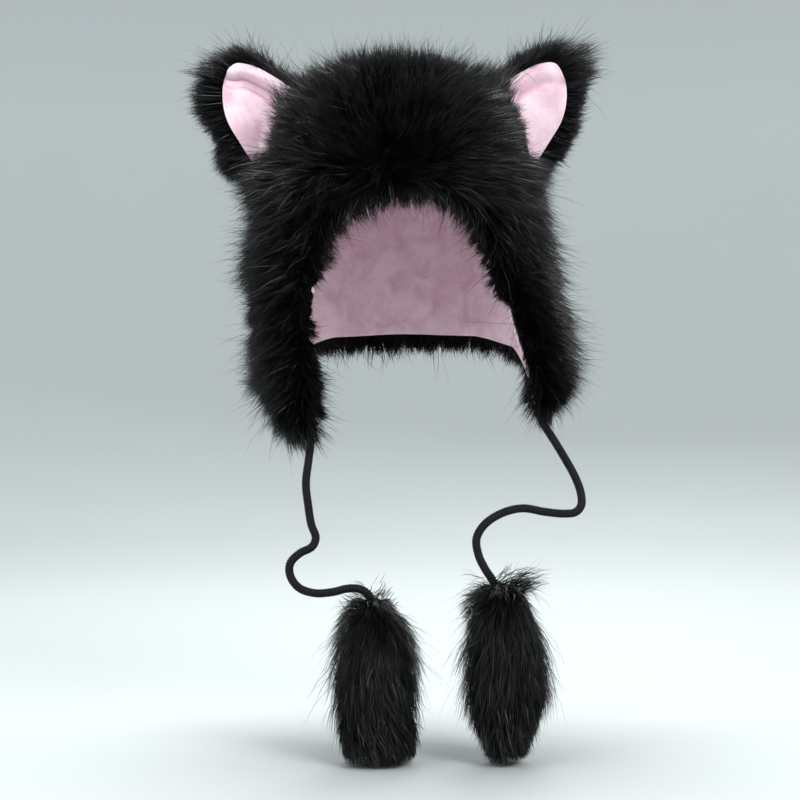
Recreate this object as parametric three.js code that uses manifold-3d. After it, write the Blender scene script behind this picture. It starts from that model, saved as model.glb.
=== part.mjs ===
// Faux-fur trapper hat with cat ears, ear flaps, cords and fur tassels.
// Millimetres, +Z up, the face opening looks along -Y. The origin is the inner top of the crown,
// where a head carries the hat. Left and right are those of a viewer in front of the hat.

import * as THREE from 'three';
import { mergeVertices } from 'three/addons/utils/BufferGeometryUtils.js';
import Module from 'manifold-3d';

const wasm = await Module();
wasm.setup();

// Driving dimensions

const GAP = 0.3;                  // air between pieces that touch
const CROWN_DEPTH = 85;           // inner top of the crown down to its widest level
const CROWN_SQUARENESS = 2.5;     // superellipse exponent of the crown seen from the front
const PLAN_SQUARENESS = 2.25;     // superellipse exponent of the hat seen from above
const LINING_THICKNESS = 3;       // plush cloth
const LINING_HEM = 1;             // rounding of the lining's edge
const PILE_TIP = 41;              // tips of the fur's locks, measured from the hollow
const PILE_VALLEY = 32;           // between two locks of a row
const PILE_ROOT = 27;             // under the locks of a row
const PILE_SCATTER = 0.04;        // how much the tips' height strays
const LOCK_SCATTER = 0.2;         // how much the locks' length strays
const HEM_UPRIGHT = 0.5;          // share of the fringe's length where a flap's edge stands upright
const SEAM_DEPTH = 52;            // level of the seam round the foot of the crown
const BAND_END = 43;              // turn from the front at which the band meets a flap
const BAND_FOOT = 130;            // level at which that seam ends at the flap's front edge
const NECK_START = 112;           // turn from the front at which a flap meets the neck fur
const PANEL_REACH = 500;          // further than any fur
const HOLLOW_REACH = 340;         // deeper than any flap
const LINING_COLUMNS = 40;        // facets round the lining
const LINING_CROWN_RINGS = 4;
const LINING_CROWN_ANGLE = 66;    // degrees of the crown's quarter turn that those rings cover
const LINING_SIDE_RINGS = 4;
const FUR_COLUMNS = 64;           // facets round the fur, two to a lock
const SMALLEST_EDGE = 0.03;       // shorter edges are left out
const TABLE_EASE = 0.5;           // how much a table's steps are rounded
const TURN_STEP = 0.5;            // degrees between the places at which the lower edge is measured
const HAT_SEED = 11;
const EAR_SEED = 5;
const TASSEL_SEED = 3;

const BLACK_FUR = { color: 0x0b0b0d, roughness: 0.6, metalness: 0 };
const PINK_PLUSH = { color: 0xeec4d4, roughness: 0.95, metalness: 0 };
const BLACK_CORD = { color: 0x101012, roughness: 0.75, metalness: 0 };

// The hat's walls by depth under the crown's inner top: inner half sizes, and how far the
// front edge of each flap is pushed outwards
const SECTIONS = [
  { depth: 0, left: 84, right: 84, front: 98, back: 98, flareLeft: 0, flareRight: 0 },
  { depth: 85, left: 85, right: 85, front: 99, back: 99, flareLeft: 0, flareRight: 0 },
  { depth: 130, left: 90, right: 88, front: 100, back: 97, flareLeft: 2, flareRight: 1 },
  { depth: 175, left: 90, right: 93, front: 99, back: 92, flareLeft: 5, flareRight: 11 },
  { depth: 225, left: 88, right: 100, front: 98, back: 88, flareLeft: 4, flareRight: 18 },
  { depth: 270, left: 83, right: 102, front: 97, back: 86, flareLeft: 3, flareRight: 26 },
];

// The lower edge of each side of the hat, from mid-forehead (turn 0) to mid-nape (turn 180)
const EDGE_RIGHT = [
  { turn: 0, depth: 78 },
  { turn: 20, depth: 80 },
  { turn: 34, depth: 92 },
  { turn: 42, depth: 122 },
  { turn: 46, depth: 165 },
  { turn: 49, depth: 210 },
  { turn: 56, depth: 240 },
  { turn: 64, depth: 250 },
  { turn: 76, depth: 243 },
  { turn: 92, depth: 222 },
  { turn: 114, depth: 196 },
  { turn: 145, depth: 186 },
  { turn: 180, depth: 184 },
];
const EDGE_LEFT = [
  { turn: 0, depth: 78 },
  { turn: 20, depth: 81 },
  { turn: 33, depth: 95 },
  { turn: 41, depth: 125 },
  { turn: 44, depth: 172 },
  { turn: 45.5, depth: 225 },
  { turn: 48, depth: 249 },
  { turn: 53, depth: 258 },
  { turn: 68, depth: 252 },
  { turn: 88, depth: 230 },
  { turn: 114, depth: 198 },
  { turn: 145, depth: 187 },
  { turn: 180, depth: 184 },
];

// Rows of locks. The crown's rows stand at an angle of its quarter turn from the top, and rise by
// lift degrees. The others stand at a share of the way down to the lower edge, and hang by lift mm.
// shift turns the tips of the locks in front towards the right.
const CROWN_ROWS = [
  { angle: 8, lift: 6, shift: 0 },
  { angle: 22, lift: 8, shift: 0 },
  { angle: 37, lift: 9, shift: 0 },
  { angle: 52, lift: 9, shift: 0 },
  { angle: 66, lift: 9, shift: 0 },
];
const SIDE_START = 60;            // depth of the first row under the seam
const SIDE_ROWS = [
  { share: 0, lift: 15, shift: 5 },
  { share: 0.18, lift: 17, shift: 5 },
  { share: 0.37, lift: 18, shift: 4 },
  { share: 0.56, lift: 18, shift: 3 },
  { share: 0.77, lift: 18, shift: 2 },
];
const FULL_ROW_SPACING = 38;      // rows closer than this to the edge of a short panel hang less

// The fringe's rows: offset is measured from the hollow, tip and valley down from the lower edge
const HEM_ROWS = [
  { offset: 25, tip: 12, valley: 5 },
  { offset: 12, tip: 19, valley: 10 },
];

// Outline of a cat ear in the frontal plane, from its base centre: out is away from the hat, and
// pile is the share of the fur's length there
const EAR_OUTLINE = [
  { out: 12, up: -31, pile: 0.8 },
  { out: 25, up: -11, pile: 0.95 },
  { out: 35, up: 6, pile: 1 },
  { out: 39, up: 22, pile: 1.1 },
  { out: 38, up: 38, pile: 1.15 },
  { out: 30, up: 52, pile: 0.95 },
  { out: 16, up: 51, pile: 0.8 },
  { out: 0, up: 43, pile: 0.65 },
  { out: -16, up: 32, pile: 0.6 },
  { out: -30, up: 18, pile: 0.6 },
];
const EAR_ROOT = [
  { out: -42, up: 2, pile: 0 },
  { out: -4, up: -46, pile: 0 },
];
const EARS = [
  { name: 'left', side: -1, baseX: -105, baseZ: -25, baseY: -8, toe: 8 },
  { name: 'right', side: 1, baseX: 91.5, baseZ: -24.5, baseY: -8, toe: 8 },
];
const EAR_STEPS = 26;             // facets round an ear's outline
const EAR_CUP = 9;                // how deep the ear is dished
const EAR_PLUSH = 3;
const PINK_BACK_RING = 3;         // the plush's ring where its back begins
const EAR_MIDDLE = { out: 8, up: 10 };
const EAR_HALFWAY = 0.55;         // share of the outline at which the dish has its inner ring
// The fur round an ear from front to back: how far past the outline the locks' tips and the valleys
// between them reach, and how far in front of the plush's edge. Uneven rows are turned by one lock.
const EAR_FUR_ROWS = [
  { tip: 8, valley: 8, front: 3, row: 0 },
  { tip: 30, valley: 14, front: -3, row: 0 },
  { tip: 10, valley: 10, front: -9, row: 0 },
  { tip: 30, valley: 12, front: -17, row: 1 },
  { tip: 0, valley: 0, front: -22, row: 0 },
  { tip: 8, valley: -8, front: -33, row: 0 },
];
const EAR_BURIED_STEPS = 1;       // steps at each end of the outline that the crown's fur buries
const EAR_RISING_STEPS = 2;       // steps after them in which the locks reach their length
const EAR_BACK = 30;              // the back's middle
const EAR_ROOM = 1.04;            // size of an ear's pocket in the fur, to the ear

// Each cord, from the flap's tip to inside its tassel. The points are where it lies.
const CORD_DIAMETER = 5.6;
const CORD_SIDES = 8;
const CORD_STEP = 12;
const CORD_LEFT = [
  [-73.9, -60.9, -259],
  [-72.8, -62.5, -265.5],
  [-71.2, -66.5, -273.5],
  [-72.3, -73, -287],
  [-74, -79, -304],
  [-72, -84, -321],
  [-69.5, -88, -333],
  [-66, -92, -341],
  [-68, -96, -348.5],
  [-78, -100, -354],
  [-84.5, -104, -362],
  [-84.5, -107, -371],
  [-78, -110, -380.5],
  [-66, -112, -384.5],
  [-52.5, -113, -383],
  [-40.5, -113, -380],
  [-30.5, -113, -379],
  [-24, -113, -383],
  [-22, -113, -391],
  [-21.5, -113, -401],
  [-21, -113, -416],
];
const CORD_RIGHT = [
  [105, -50, -245.2],
  [105.4, -51.5, -251.5],
  [108.2, -56, -259],
  [116.3, -66, -272.8],
  [124, -74, -286.5],
  [130.3, -82, -299],
  [133.8, -90, -311.5],
  [132.5, -97, -321],
  [122, -101, -325.5],
  [106, -104, -324.5],
  [89, -107, -322],
  [73, -110, -325.5],
  [60, -112, -334],
  [54.5, -113, -344],
  [56, -113, -356],
  [61, -113, -366.5],
  [67, -113, -376],
  [70.5, -113, -386],
  [71.5, -113, -400],
];

// Fur tassels: half sizes at the roots of each row of locks, and the middle's place
const TASSEL_LEFT = [
  { z: -389, x: -23, y: -113, halfWidth: 13, halfDepth: 13 },
  { z: -403, x: -22, y: -113, halfWidth: 21, halfDepth: 20 },
  { z: -420, x: -21, y: -113, halfWidth: 25, halfDepth: 23 },
  { z: -440, x: -20, y: -113, halfWidth: 27, halfDepth: 24 },
  { z: -461, x: -20, y: -113, halfWidth: 27, halfDepth: 24 },
  { z: -481, x: -19, y: -113, halfWidth: 28, halfDepth: 24 },
  { z: -499, x: -18.5, y: -113, halfWidth: 27, halfDepth: 23 },
];
const TASSEL_RIGHT = [
  { z: -378, x: 72, y: -113, halfWidth: 13, halfDepth: 13 },
  { z: -392, x: 73.5, y: -113, halfWidth: 21, halfDepth: 20 },
  { z: -410, x: 75.5, y: -113, halfWidth: 25, halfDepth: 23 },
  { z: -431, x: 77, y: -113, halfWidth: 27, halfDepth: 24 },
  { z: -453, x: 78, y: -113, halfWidth: 27.5, halfDepth: 24 },
  { z: -475, x: 77.5, y: -113, halfWidth: 25, halfDepth: 22 },
  { z: -495, x: 76.5, y: -113, halfWidth: 18, halfDepth: 16 },
];
const TASSEL_SIDES = 16;
const TASSEL_FLOOR = -511;        // both tassels stand on this level
const TASSEL_TIP = 7;             // how far the tips stand out
const TASSEL_TUCK = 4;            // and the rows are tucked in under them
const TASSEL_HANG = 14;           // how far the tips hang
const TASSEL_SCATTER = 0.25;
const TASSEL_SWIRL_LEFT = 14;     // degrees by which each tip is turned aside
const TASSEL_SWIRL_RIGHT = 0;

const RADIANS = Math.PI / 180;

// Small helpers

function seededRandom(seed) {
  let state = seed;
  return () => {
    state = (state * 1664525 + 1013904223) % 4294967296;
    return state / 4294967296;
  };
}

// A factor that strays round 1 by a share
function scatter(random, share) {
  return 1 + share * (2 * random() - 1);
}

// Reads a column of a table at a place between its rows, on a smooth curve through them
function readTable(rows, key, place, column) {
  const last = rows.length - 1;
  const held = THREE.MathUtils.clamp(place, rows[0][key], rows[last][key]);
  let row = 0;
  while (row < last - 1 && rows[row + 1][key] < held) {
    row += 1;
  }
  const share = (held - rows[row][key]) / (rows[row + 1][key] - rows[row][key]);
  const eased = share * share * (3 - 2 * share);
  const blend = THREE.MathUtils.lerp(share, eased, TABLE_EASE);
  return THREE.MathUtils.lerp(rows[row][column], rows[row + 1][column], blend);
}

function signedPower(value, exponent) {
  return Math.sign(value) * Math.abs(value) ** exponent;
}

// A closed body through rings of points, pointed at both ends. From ring turned on, each facet is
// split the other way, so that the two faces of a wall are split alike.
function loft(start, rings, end, turned = rings.length) {
  const count = rings[0].length;
  const points = [start, ...rings.flat(), end];
  const at = (ring, step) => 1 + ring * count + (step % count);
  const last = points.length - 1;
  const index = [];
  for (let step = 0; step < count; step += 1) {
    index.push(0, at(0, step + 1), at(0, step));
    index.push(last, at(rings.length - 1, step), at(rings.length - 1, step + 1));
    for (let ring = 0; ring < rings.length - 1; ring += 1) {
      const [near, far] = [at(ring, step), at(ring, step + 1)];
      const [nearNext, farNext] = [at(ring + 1, step), at(ring + 1, step + 1)];
      index.push(...(ring < turned ? [near, far, farNext, near, farNext, nearNext]
        : [near, far, nearNext, far, farNext, nearNext]));
    }
  }
  const geometry = new THREE.BufferGeometry();
  const numbers = points.flatMap((point) => point.toArray());
  geometry.setAttribute('position', new THREE.Float32BufferAttribute(numbers, 3));
  geometry.setIndex(index);
  return geometry;
}

function solidFrom(geometry) {
  const bare = geometry.clone();
  bare.deleteAttribute('normal');
  bare.deleteAttribute('uv');
  const merged = mergeVertices(bare, 1e-4);
  const mesh = new wasm.Mesh({
    numProp: 3,
    vertProperties: new Float32Array(merged.attributes.position.array),
    triVerts: new Uint32Array(merged.index.array),
  });
  const solid = new wasm.Manifold(mesh);
  if (solid.volume() >= 0) {
    return solid;
  }
  const turned = merged.index.array.slice();
  for (let corner = 0; corner < turned.length; corner += 3) {
    [turned[corner + 1], turned[corner + 2]] = [turned[corner + 2], turned[corner + 1]];
  }
  mesh.triVerts = new Uint32Array(turned);
  return new wasm.Manifold(mesh);
}

// The largest body of a solid, without crumbs that a cut has left, and without tiny edges
function mainBody(solid) {
  const parts = solid.simplify(SMALLEST_EDGE).decompose();
  return parts.reduce((best, part) => (part.volume() > best.volume() ? part : best));
}

function geometryFrom(solid) {
  const mesh = solid.getMesh();
  const geometry = new THREE.BufferGeometry();
  geometry.setAttribute('position', new THREE.BufferAttribute(mesh.vertProperties, 3));
  geometry.setIndex(new THREE.BufferAttribute(mesh.triVerts, 1));
  geometry.computeVertexNormals();
  return geometry;
}

function named(name, solid, finish) {
  const mesh = new THREE.Mesh(geometryFrom(mainBody(solid)), new THREE.MeshStandardMaterial(finish));
  mesh.name = name;
  return mesh;
}

// The hat's wall. turn is the angle from the front, positive towards the right.

// How far the front part of a flap is pushed outwards
function flare(turn, depth) {
  const column = turn >= 0 ? 'flareRight' : 'flareLeft';
  const past = THREE.MathUtils.clamp((Math.abs(turn) - BAND_END) / (90 - BAND_END), 0, 1);
  const share = Math.cos(past * Math.PI / 2) ** 2;
  return Math.sign(turn) * share * readTable(SECTIONS, 'depth', depth, column);
}

// A point of the hollow that the head fills
function hollowPoint(turn, depth) {
  const angle = turn * RADIANS;
  const exponent = 2 / PLAN_SQUARENESS;
  const width = readTable(SECTIONS, 'depth', depth, turn >= 0 ? 'right' : 'left');
  const length = readTable(SECTIONS, 'depth', depth, Math.cos(angle) >= 0 ? 'front' : 'back');
  const level = Math.max(0, (CROWN_DEPTH - depth) / CROWN_DEPTH);
  const shrink = (1 - level ** CROWN_SQUARENESS) ** (1 / CROWN_SQUARENESS);
  const x = width * shrink * signedPower(Math.sin(angle), exponent);
  const y = -length * shrink * signedPower(Math.cos(angle), exponent);
  return new THREE.Vector3(x + flare(turn, depth), y, -depth);
}

// The direction straight out of the wall
function hollowNormal(turn, depth) {
  const step = 1;
  const deep = Math.max(depth, 2 * step);
  const along = hollowPoint(turn + step, deep).sub(hollowPoint(turn - step, deep));
  const down = hollowPoint(turn, deep + step).sub(hollowPoint(turn, deep - step));
  return down.cross(along).normalize();
}

function wallPoint(turn, depth, offset) {
  return hollowPoint(turn, depth).addScaledVector(hollowNormal(turn, depth), offset);
}

function edgeDepth(turn) {
  return readTable(turn >= 0 ? EDGE_RIGHT : EDGE_LEFT, 'turn', Math.abs(turn), 'depth');
}

// The facets round the hat: evenly turned at the top, and evenly spaced along the lower edge
function hatColumns(count) {
  const spots = [];
  let length = 0;
  for (let turn = -180; turn <= 180; turn += TURN_STEP) {
    const point = hollowPoint(turn, edgeDepth(turn));
    length += spots.length ? point.distanceTo(spots[spots.length - 1].point) : 0;
    spots.push({ turn, point, length });
  }
  return Array.from({ length: count }, (_, column) => {
    const wanted = (column / count) * length;
    const spot = spots.find((item) => item.length >= wanted);
    return { topTurn: -180 + (360 * column) / count, edgeTurn: spot.turn, edgeDepth: edgeDepth(spot.turn) };
  });
}

function columnTurn(column, depth) {
  return THREE.MathUtils.lerp(column.topTurn, column.edgeTurn, depth / column.edgeDepth);
}

function columnPoint(column, depth, offset, shift = 0) {
  return wallPoint(columnTurn(column, depth) + shift, depth, offset);
}

// The depth of the crown at an angle of its quarter turn from the top
function crownDepth(angle) {
  return CROWN_DEPTH * (1 - Math.cos(angle * RADIANS) ** (2 / CROWN_SQUARENESS));
}

// In the wall, square to its lower edge and away from it
function edgeOutward(columns, index) {
  const before = columns[(index + columns.length - 1) % columns.length];
  const after = columns[(index + 1) % columns.length];
  const along = hollowPoint(after.edgeTurn, after.edgeDepth)
    .sub(hollowPoint(before.edgeTurn, before.edgeDepth));
  return along.cross(hollowNormal(columns[index].edgeTurn, columns[index].edgeDepth)).normalize();
}

// A place past the lower edge, out from the hollow by offset and away from the edge by hang
function edgePoint(columns, index, offset, hang) {
  const column = columns[index];
  return wallPoint(column.edgeTurn, column.edgeDepth, offset)
    .addScaledVector(edgeOutward(columns, index), hang);
}

// The lining

const LINING_GRID = hatColumns(LINING_COLUMNS);

function liningDepths(column) {
  const crown = Array.from({ length: LINING_CROWN_RINGS }, (_, ring) => (
    crownDepth((LINING_CROWN_ANGLE * (ring + 1)) / LINING_CROWN_RINGS)
  ));
  const foot = crown[LINING_CROWN_RINGS - 1];
  const side = Array.from({ length: LINING_SIDE_RINGS }, (_, ring) => (
    foot + ((column.edgeDepth - foot) * (ring + 1)) / LINING_SIDE_RINGS
  ));
  return [...crown, ...side];
}

function liningRings(offset) {
  const rings = Array.from({ length: LINING_CROWN_RINGS + LINING_SIDE_RINGS }, () => []);
  for (const column of LINING_GRID) {
    liningDepths(column).forEach((depth, ring) => rings[ring].push(columnPoint(column, depth, offset)));
  }
  return rings;
}

function lining() {
  const outside = liningRings(LINING_THICKNESS);
  const inside = liningRings(0);
  const rim = LINING_GRID.map((_, index) => (
    edgePoint(LINING_GRID, index, LINING_THICKNESS / 2, LINING_HEM)
  ));
  const top = new THREE.Vector3(0, 0, LINING_THICKNESS);
  return loft(top, [...outside, rim, ...inside.reverse()], new THREE.Vector3(0, 0, 0), outside.length + 1);
}

// Everything inside the lining's outer face plus a gap, and straight down from its lower edge
function headAndLining() {
  const rings = liningRings(LINING_THICKNESS + GAP);
  const edge = rings[rings.length - 1];
  const foot = edge.map((point) => new THREE.Vector3(point.x, point.y, -HOLLOW_REACH));
  const top = new THREE.Vector3(0, 0, LINING_THICKNESS + GAP);
  return loft(top, [...rings, foot], new THREE.Vector3(0, 0, -HOLLOW_REACH));
}

// The fur

const FUR_GRID = hatColumns(FUR_COLUMNS);

const isTip = (column, row) => (column + row) % 2 === 0;

// The two rings of a row of the crown: under the locks, and round their rising tips
function crownRow(row, index, random) {
  const root = crownDepth(row.angle);
  const under = FUR_GRID.map((column) => columnPoint(column, root, PILE_ROOT));
  const tips = FUR_GRID.map((column, step) => {
    if (!isTip(step, index)) {
      return columnPoint(column, root, PILE_VALLEY);
    }
    const risen = crownDepth(row.angle - row.lift * scatter(random, LOCK_SCATTER));
    return columnPoint(column, risen, PILE_TIP * scatter(random, PILE_SCATTER));
  });
  return [under, tips];
}

// The two rings of a row of the sides: round the hanging tips of its locks, and under them
function sideRow(row, index, random) {
  const rootOf = (column) => THREE.MathUtils.lerp(SIDE_START, column.edgeDepth, row.share);
  const under = FUR_GRID.map((column) => columnPoint(column, rootOf(column), PILE_ROOT));
  const tips = FUR_GRID.map((column, step) => {
    const root = rootOf(column);
    if (!isTip(step, index)) {
      return columnPoint(column, root, PILE_VALLEY);
    }
    const spacing = (column.edgeDepth - SIDE_START) / SIDE_ROWS.length;
    const hang = row.lift * Math.min(1, spacing / FULL_ROW_SPACING) * scatter(random, LOCK_SCATTER);
    const depth = Math.min(root + hang, column.edgeDepth);
    const shift = row.shift * Math.max(0, Math.cos(columnTurn(column, root) * RADIANS));
    return columnPoint(column, depth, PILE_TIP * scatter(random, PILE_SCATTER), shift);
  });
  return [tips, under];
}

// A row of the fringe that hangs past the lower edge
function hemRow(row, index, random) {
  return FUR_GRID.map((_, step) => {
    const upright = 1 - Math.max(0, -edgeOutward(FUR_GRID, step).z);
    const length = isTip(step, index) ? row.tip * scatter(random, LOCK_SCATTER) : row.valley;
    return edgePoint(FUR_GRID, step, row.offset, length * THREE.MathUtils.lerp(1, HEM_UPRIGHT, upright));
  });
}

function furBlock() {
  const random = seededRandom(HAT_SEED);
  const rings = [
    ...CROWN_ROWS.flatMap((row, index) => crownRow(row, index, random)),
    ...SIDE_ROWS.flatMap((row, index) => sideRow(row, index, random)),
    ...HEM_ROWS.map((row, index) => hemRow(row, SIDE_ROWS.length + index, random)),
    FUR_GRID.map((_, step) => edgePoint(FUR_GRID, step, 0, 0)),
  ];
  return loft(new THREE.Vector3(0, 0, PILE_TIP), rings, new THREE.Vector3(0, 0, -SEAM_DEPTH));
}

// Panels of the fur, parted along the seams. margin is how far a region stands back from its seams.

function wedge(fromTurn, toTurn, topDepth, footDepth, margin) {
  const middle = ((fromTurn + toTurn) / 2) * RADIANS;
  const half = ((toTurn - fromTurn) / 2) * RADIANS;
  const ahead = (angle, reach) => new THREE.Vector2(Math.sin(angle) * reach, -Math.cos(angle) * reach);
  const tip = ahead(middle, margin / Math.sin(half));
  const corners = [-half, 0, half].map((angle) => ahead(middle + angle, PANEL_REACH).add(tip));
  const body = new THREE.ExtrudeGeometry(new THREE.Shape([tip, ...corners]), {
    depth: footDepth - topDepth - 2 * margin,
    bevelEnabled: false,
  });
  body.translate(0, 0, -footDepth + margin);
  return solidFrom(body);
}

function aboveSeam() {
  const block = new THREE.BoxGeometry(2 * PANEL_REACH, 2 * PANEL_REACH, PANEL_REACH);
  block.translate(0, 0, -SEAM_DEPTH + GAP / 2 + PANEL_REACH / 2);
  return solidFrom(block);
}

// A flap's fur takes in the fringe along its front edge, under the end of the band
function flapRegion(fromTurn, toTurn) {
  const band = wedge(-BAND_END, BAND_END, SEAM_DEPTH, BAND_FOOT, -GAP / 2);
  return wedge(fromTurn, toTurn, SEAM_DEPTH, PANEL_REACH, GAP / 2).subtract(band);
}

const PANELS = [
  { name: 'crown_fur', region: aboveSeam() },
  { name: 'front_band_fur', region: wedge(-BAND_END, BAND_END, SEAM_DEPTH, BAND_FOOT, GAP / 2) },
  { name: 'ear_flap_left_fur', region: flapRegion(-NECK_START, 0) },
  { name: 'ear_flap_right_fur', region: flapRegion(0, NECK_START) },
  { name: 'neck_fur', region: wedge(NECK_START, 360 - NECK_START, SEAM_DEPTH, PANEL_REACH, GAP / 2) },
];

// Cat ears. Their directions are out from the hat, up, and towards the front.

function earFrame(ear) {
  const toe = ear.toe * RADIANS * ear.side;
  return {
    base: new THREE.Vector3(ear.baseX, ear.baseY, ear.baseZ),
    out: new THREE.Vector3(Math.cos(toe), Math.sin(toe), 0).multiplyScalar(ear.side),
    up: new THREE.Vector3(0, 0, 1),
    front: new THREE.Vector3(Math.sin(toe), -Math.cos(toe), 0),
  };
}

function earPlace(frame, out, up, front) {
  return frame.base.clone()
    .addScaledVector(frame.out, out)
    .addScaledVector(frame.up, up)
    .addScaledVector(frame.front, front);
}

function earCentre(frame, front) {
  return earPlace(frame, EAR_MIDDLE.out, EAR_MIDDLE.up, front);
}

// The ear's outline as evenly spaced places
function earOutline() {
  const corners = EAR_OUTLINE.map(({ out, up, pile }) => new THREE.Vector3(out, up, pile));
  const places = new THREE.CatmullRomCurve3(corners).getSpacedPoints(EAR_STEPS);
  return places.map(({ x, y, z }) => ({ out: x, up: y, pile: z }));
}

// A ring of the ear: the outline shrunk to a share of its size, spread by an amount for each step
function earRing(frame, outline, share, spreadAt, front) {
  return outline.map(({ out, up, pile }, step) => {
    const arm = new THREE.Vector2(out - EAR_MIDDLE.out, up - EAR_MIDDLE.up);
    arm.setLength(arm.length() * share + spreadAt(step, pile));
    return earPlace(frame, EAR_MIDDLE.out + arm.x, EAR_MIDDLE.up + arm.y, front);
  });
}

const dished = (share) => -EAR_CUP * (1 - share * share);

function earPink(ear) {
  const frame = earFrame(ear);
  const outline = earOutline();
  const face = GAP + EAR_PLUSH;
  const ring = (share, spread, front) => earRing(frame, outline, share, () => spread, front);
  return loft(
    earCentre(frame, dished(0) + face),
    [
      ring(EAR_HALFWAY, 0, dished(EAR_HALFWAY) + face),
      ring(1, -1, face),
      ring(1, 0, GAP + EAR_PLUSH / 2),
      ring(1, -1, GAP),
      ring(EAR_HALFWAY, 0, dished(EAR_HALFWAY) + GAP),
    ],
    earCentre(frame, dished(0) + GAP),
    PINK_BACK_RING,
  );
}

// The fur of an ear: its front face, whose level is given for each share of the outline, the rows
// of locks round it, and its back
function earBody(ear, level) {
  const random = seededRandom(EAR_SEED);
  const frame = earFrame(ear);
  const outline = [...earOutline(), ...EAR_ROOT];
  const rows = EAR_FUR_ROWS.map(({ tip, valley, front, row }) => {
    const spreadAt = (step, pile) => {
      if (step > EAR_STEPS) {
        return 0;
      }
      const shown = Math.max(0, Math.min(step, EAR_STEPS - step) - EAR_BURIED_STEPS);
      const lock = (tip - valley) * Math.min(1, shown / EAR_RISING_STEPS) * scatter(random, LOCK_SCATTER);
      return pile * (isTip(step, row) ? valley + lock : valley);
    };
    return earRing(frame, outline, 1, spreadAt, front);
  });
  return loft(
    earCentre(frame, level(0)),
    [
      earRing(frame, outline, EAR_HALFWAY, () => 0, level(EAR_HALFWAY)),
      earRing(frame, outline, 1, () => 0, level(1)),
      ...rows,
    ],
    earCentre(frame, -EAR_BACK),
  );
}

// What the hat's fur leaves free for an ear: its fur and plush in one, a little larger
function earPocket(ear) {
  const middle = earCentre(earFrame(ear), -EAR_BACK / 2);
  const room = new THREE.Matrix4().makeTranslation(...middle.toArray())
    .multiply(new THREE.Matrix4().makeScale(EAR_ROOM, EAR_ROOM, EAR_ROOM))
    .multiply(new THREE.Matrix4().makeTranslation(...middle.negate().toArray()));
  return earBody(ear, () => GAP + EAR_PLUSH).applyMatrix4(room);
}

// Cords

function cordGeometry(route, grow) {
  const curve = new THREE.CatmullRomCurve3(route.map((point) => new THREE.Vector3(...point)));
  const section = new THREE.Shape();
  section.absarc(0, 0, CORD_DIAMETER / 2 + grow, 0, 2 * Math.PI, false);
  return new THREE.ExtrudeGeometry(section, {
    steps: Math.round(curve.getLength() / CORD_STEP),
    curveSegments: CORD_SIDES / 2,
    extrudePath: curve,
  });
}

// Tassels

function tasselRing(row, spreadAt, hangAt, swirlAt) {
  return Array.from({ length: TASSEL_SIDES }, (_, step) => {
    const angle = (step / TASSEL_SIDES) * 2 * Math.PI + swirlAt(step) * RADIANS;
    return new THREE.Vector3(
      row.x + (row.halfWidth + spreadAt(step)) * Math.cos(angle),
      row.y + (row.halfDepth + spreadAt(step)) * Math.sin(angle),
      Math.max(row.z - hangAt(step), TASSEL_FLOOR),
    );
  });
}

function tassel(rows, swirl, route) {
  const random = seededRandom(TASSEL_SEED);
  const rings = rows.flatMap((row, index) => {
    const onlyTips = (amount) => (step) => (
      isTip(step, index) ? amount * scatter(random, TASSEL_SCATTER) : 0
    );
    const tips = tasselRing(row, onlyTips(TASSEL_TIP), onlyTips(TASSEL_HANG), onlyTips(swirl));
    return [tips, tasselRing(row, () => -TASSEL_TUCK, () => 0, () => 0)];
  });
  const [first, last] = [rows[0], rows[rows.length - 1]];
  const body = loft(
    new THREE.Vector3(first.x, first.y, first.z + TASSEL_TUCK),
    rings,
    new THREE.Vector3(last.x, last.y, TASSEL_FLOOR),
  );
  return solidFrom(body).subtract(solidFrom(cordGeometry(route, GAP)));
}

// Assembly

const head = solidFrom(headAndLining());
const neighbours = [
  head,
  ...EARS.map((ear) => solidFrom(earPocket(ear))),
  ...[CORD_LEFT, CORD_RIGHT].map((route) => solidFrom(cordGeometry(route, GAP))),
];
const fur = neighbours.reduce((left, piece) => left.subtract(piece), solidFrom(furBlock()));

const hat = new THREE.Group();
hat.add(named('lining', solidFrom(lining()), PINK_PLUSH));
for (const { name, region } of PANELS) {
  hat.add(named(name, fur.intersect(region), BLACK_FUR));
}
for (const ear of EARS) {
  hat.add(named(`cat_ear_${ear.name}_fur`, solidFrom(earBody(ear, dished)).subtract(head), BLACK_FUR));
  hat.add(named(`cat_ear_${ear.name}_pink`, solidFrom(earPink(ear)).subtract(head), PINK_PLUSH));
}
hat.add(named('cord_left', solidFrom(cordGeometry(CORD_LEFT, 0)), BLACK_CORD));
hat.add(named('cord_right', solidFrom(cordGeometry(CORD_RIGHT, 0)), BLACK_CORD));
hat.add(named('tassel_left', tassel(TASSEL_LEFT, TASSEL_SWIRL_LEFT, CORD_LEFT), BLACK_FUR));
hat.add(named('tassel_right', tassel(TASSEL_RIGHT, TASSEL_SWIRL_RIGHT, CORD_RIGHT), BLACK_FUR));

export default hat;
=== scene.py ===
"""The look of a faux-fur trapper hat with cat ears, ear flaps, cords and fur tassels.

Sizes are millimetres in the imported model's frame: +Z is up, the face opening looks along -Y, and
the origin is the inner top of the crown. Left and right are those of a viewer in front of the hat.
Meshes are written in metres.
"""

from __future__ import annotations

import logging
import math
from dataclasses import astuple, dataclass, field, replace
from enum import Enum

import bpy
import numpy as np
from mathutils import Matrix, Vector, kdtree

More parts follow.
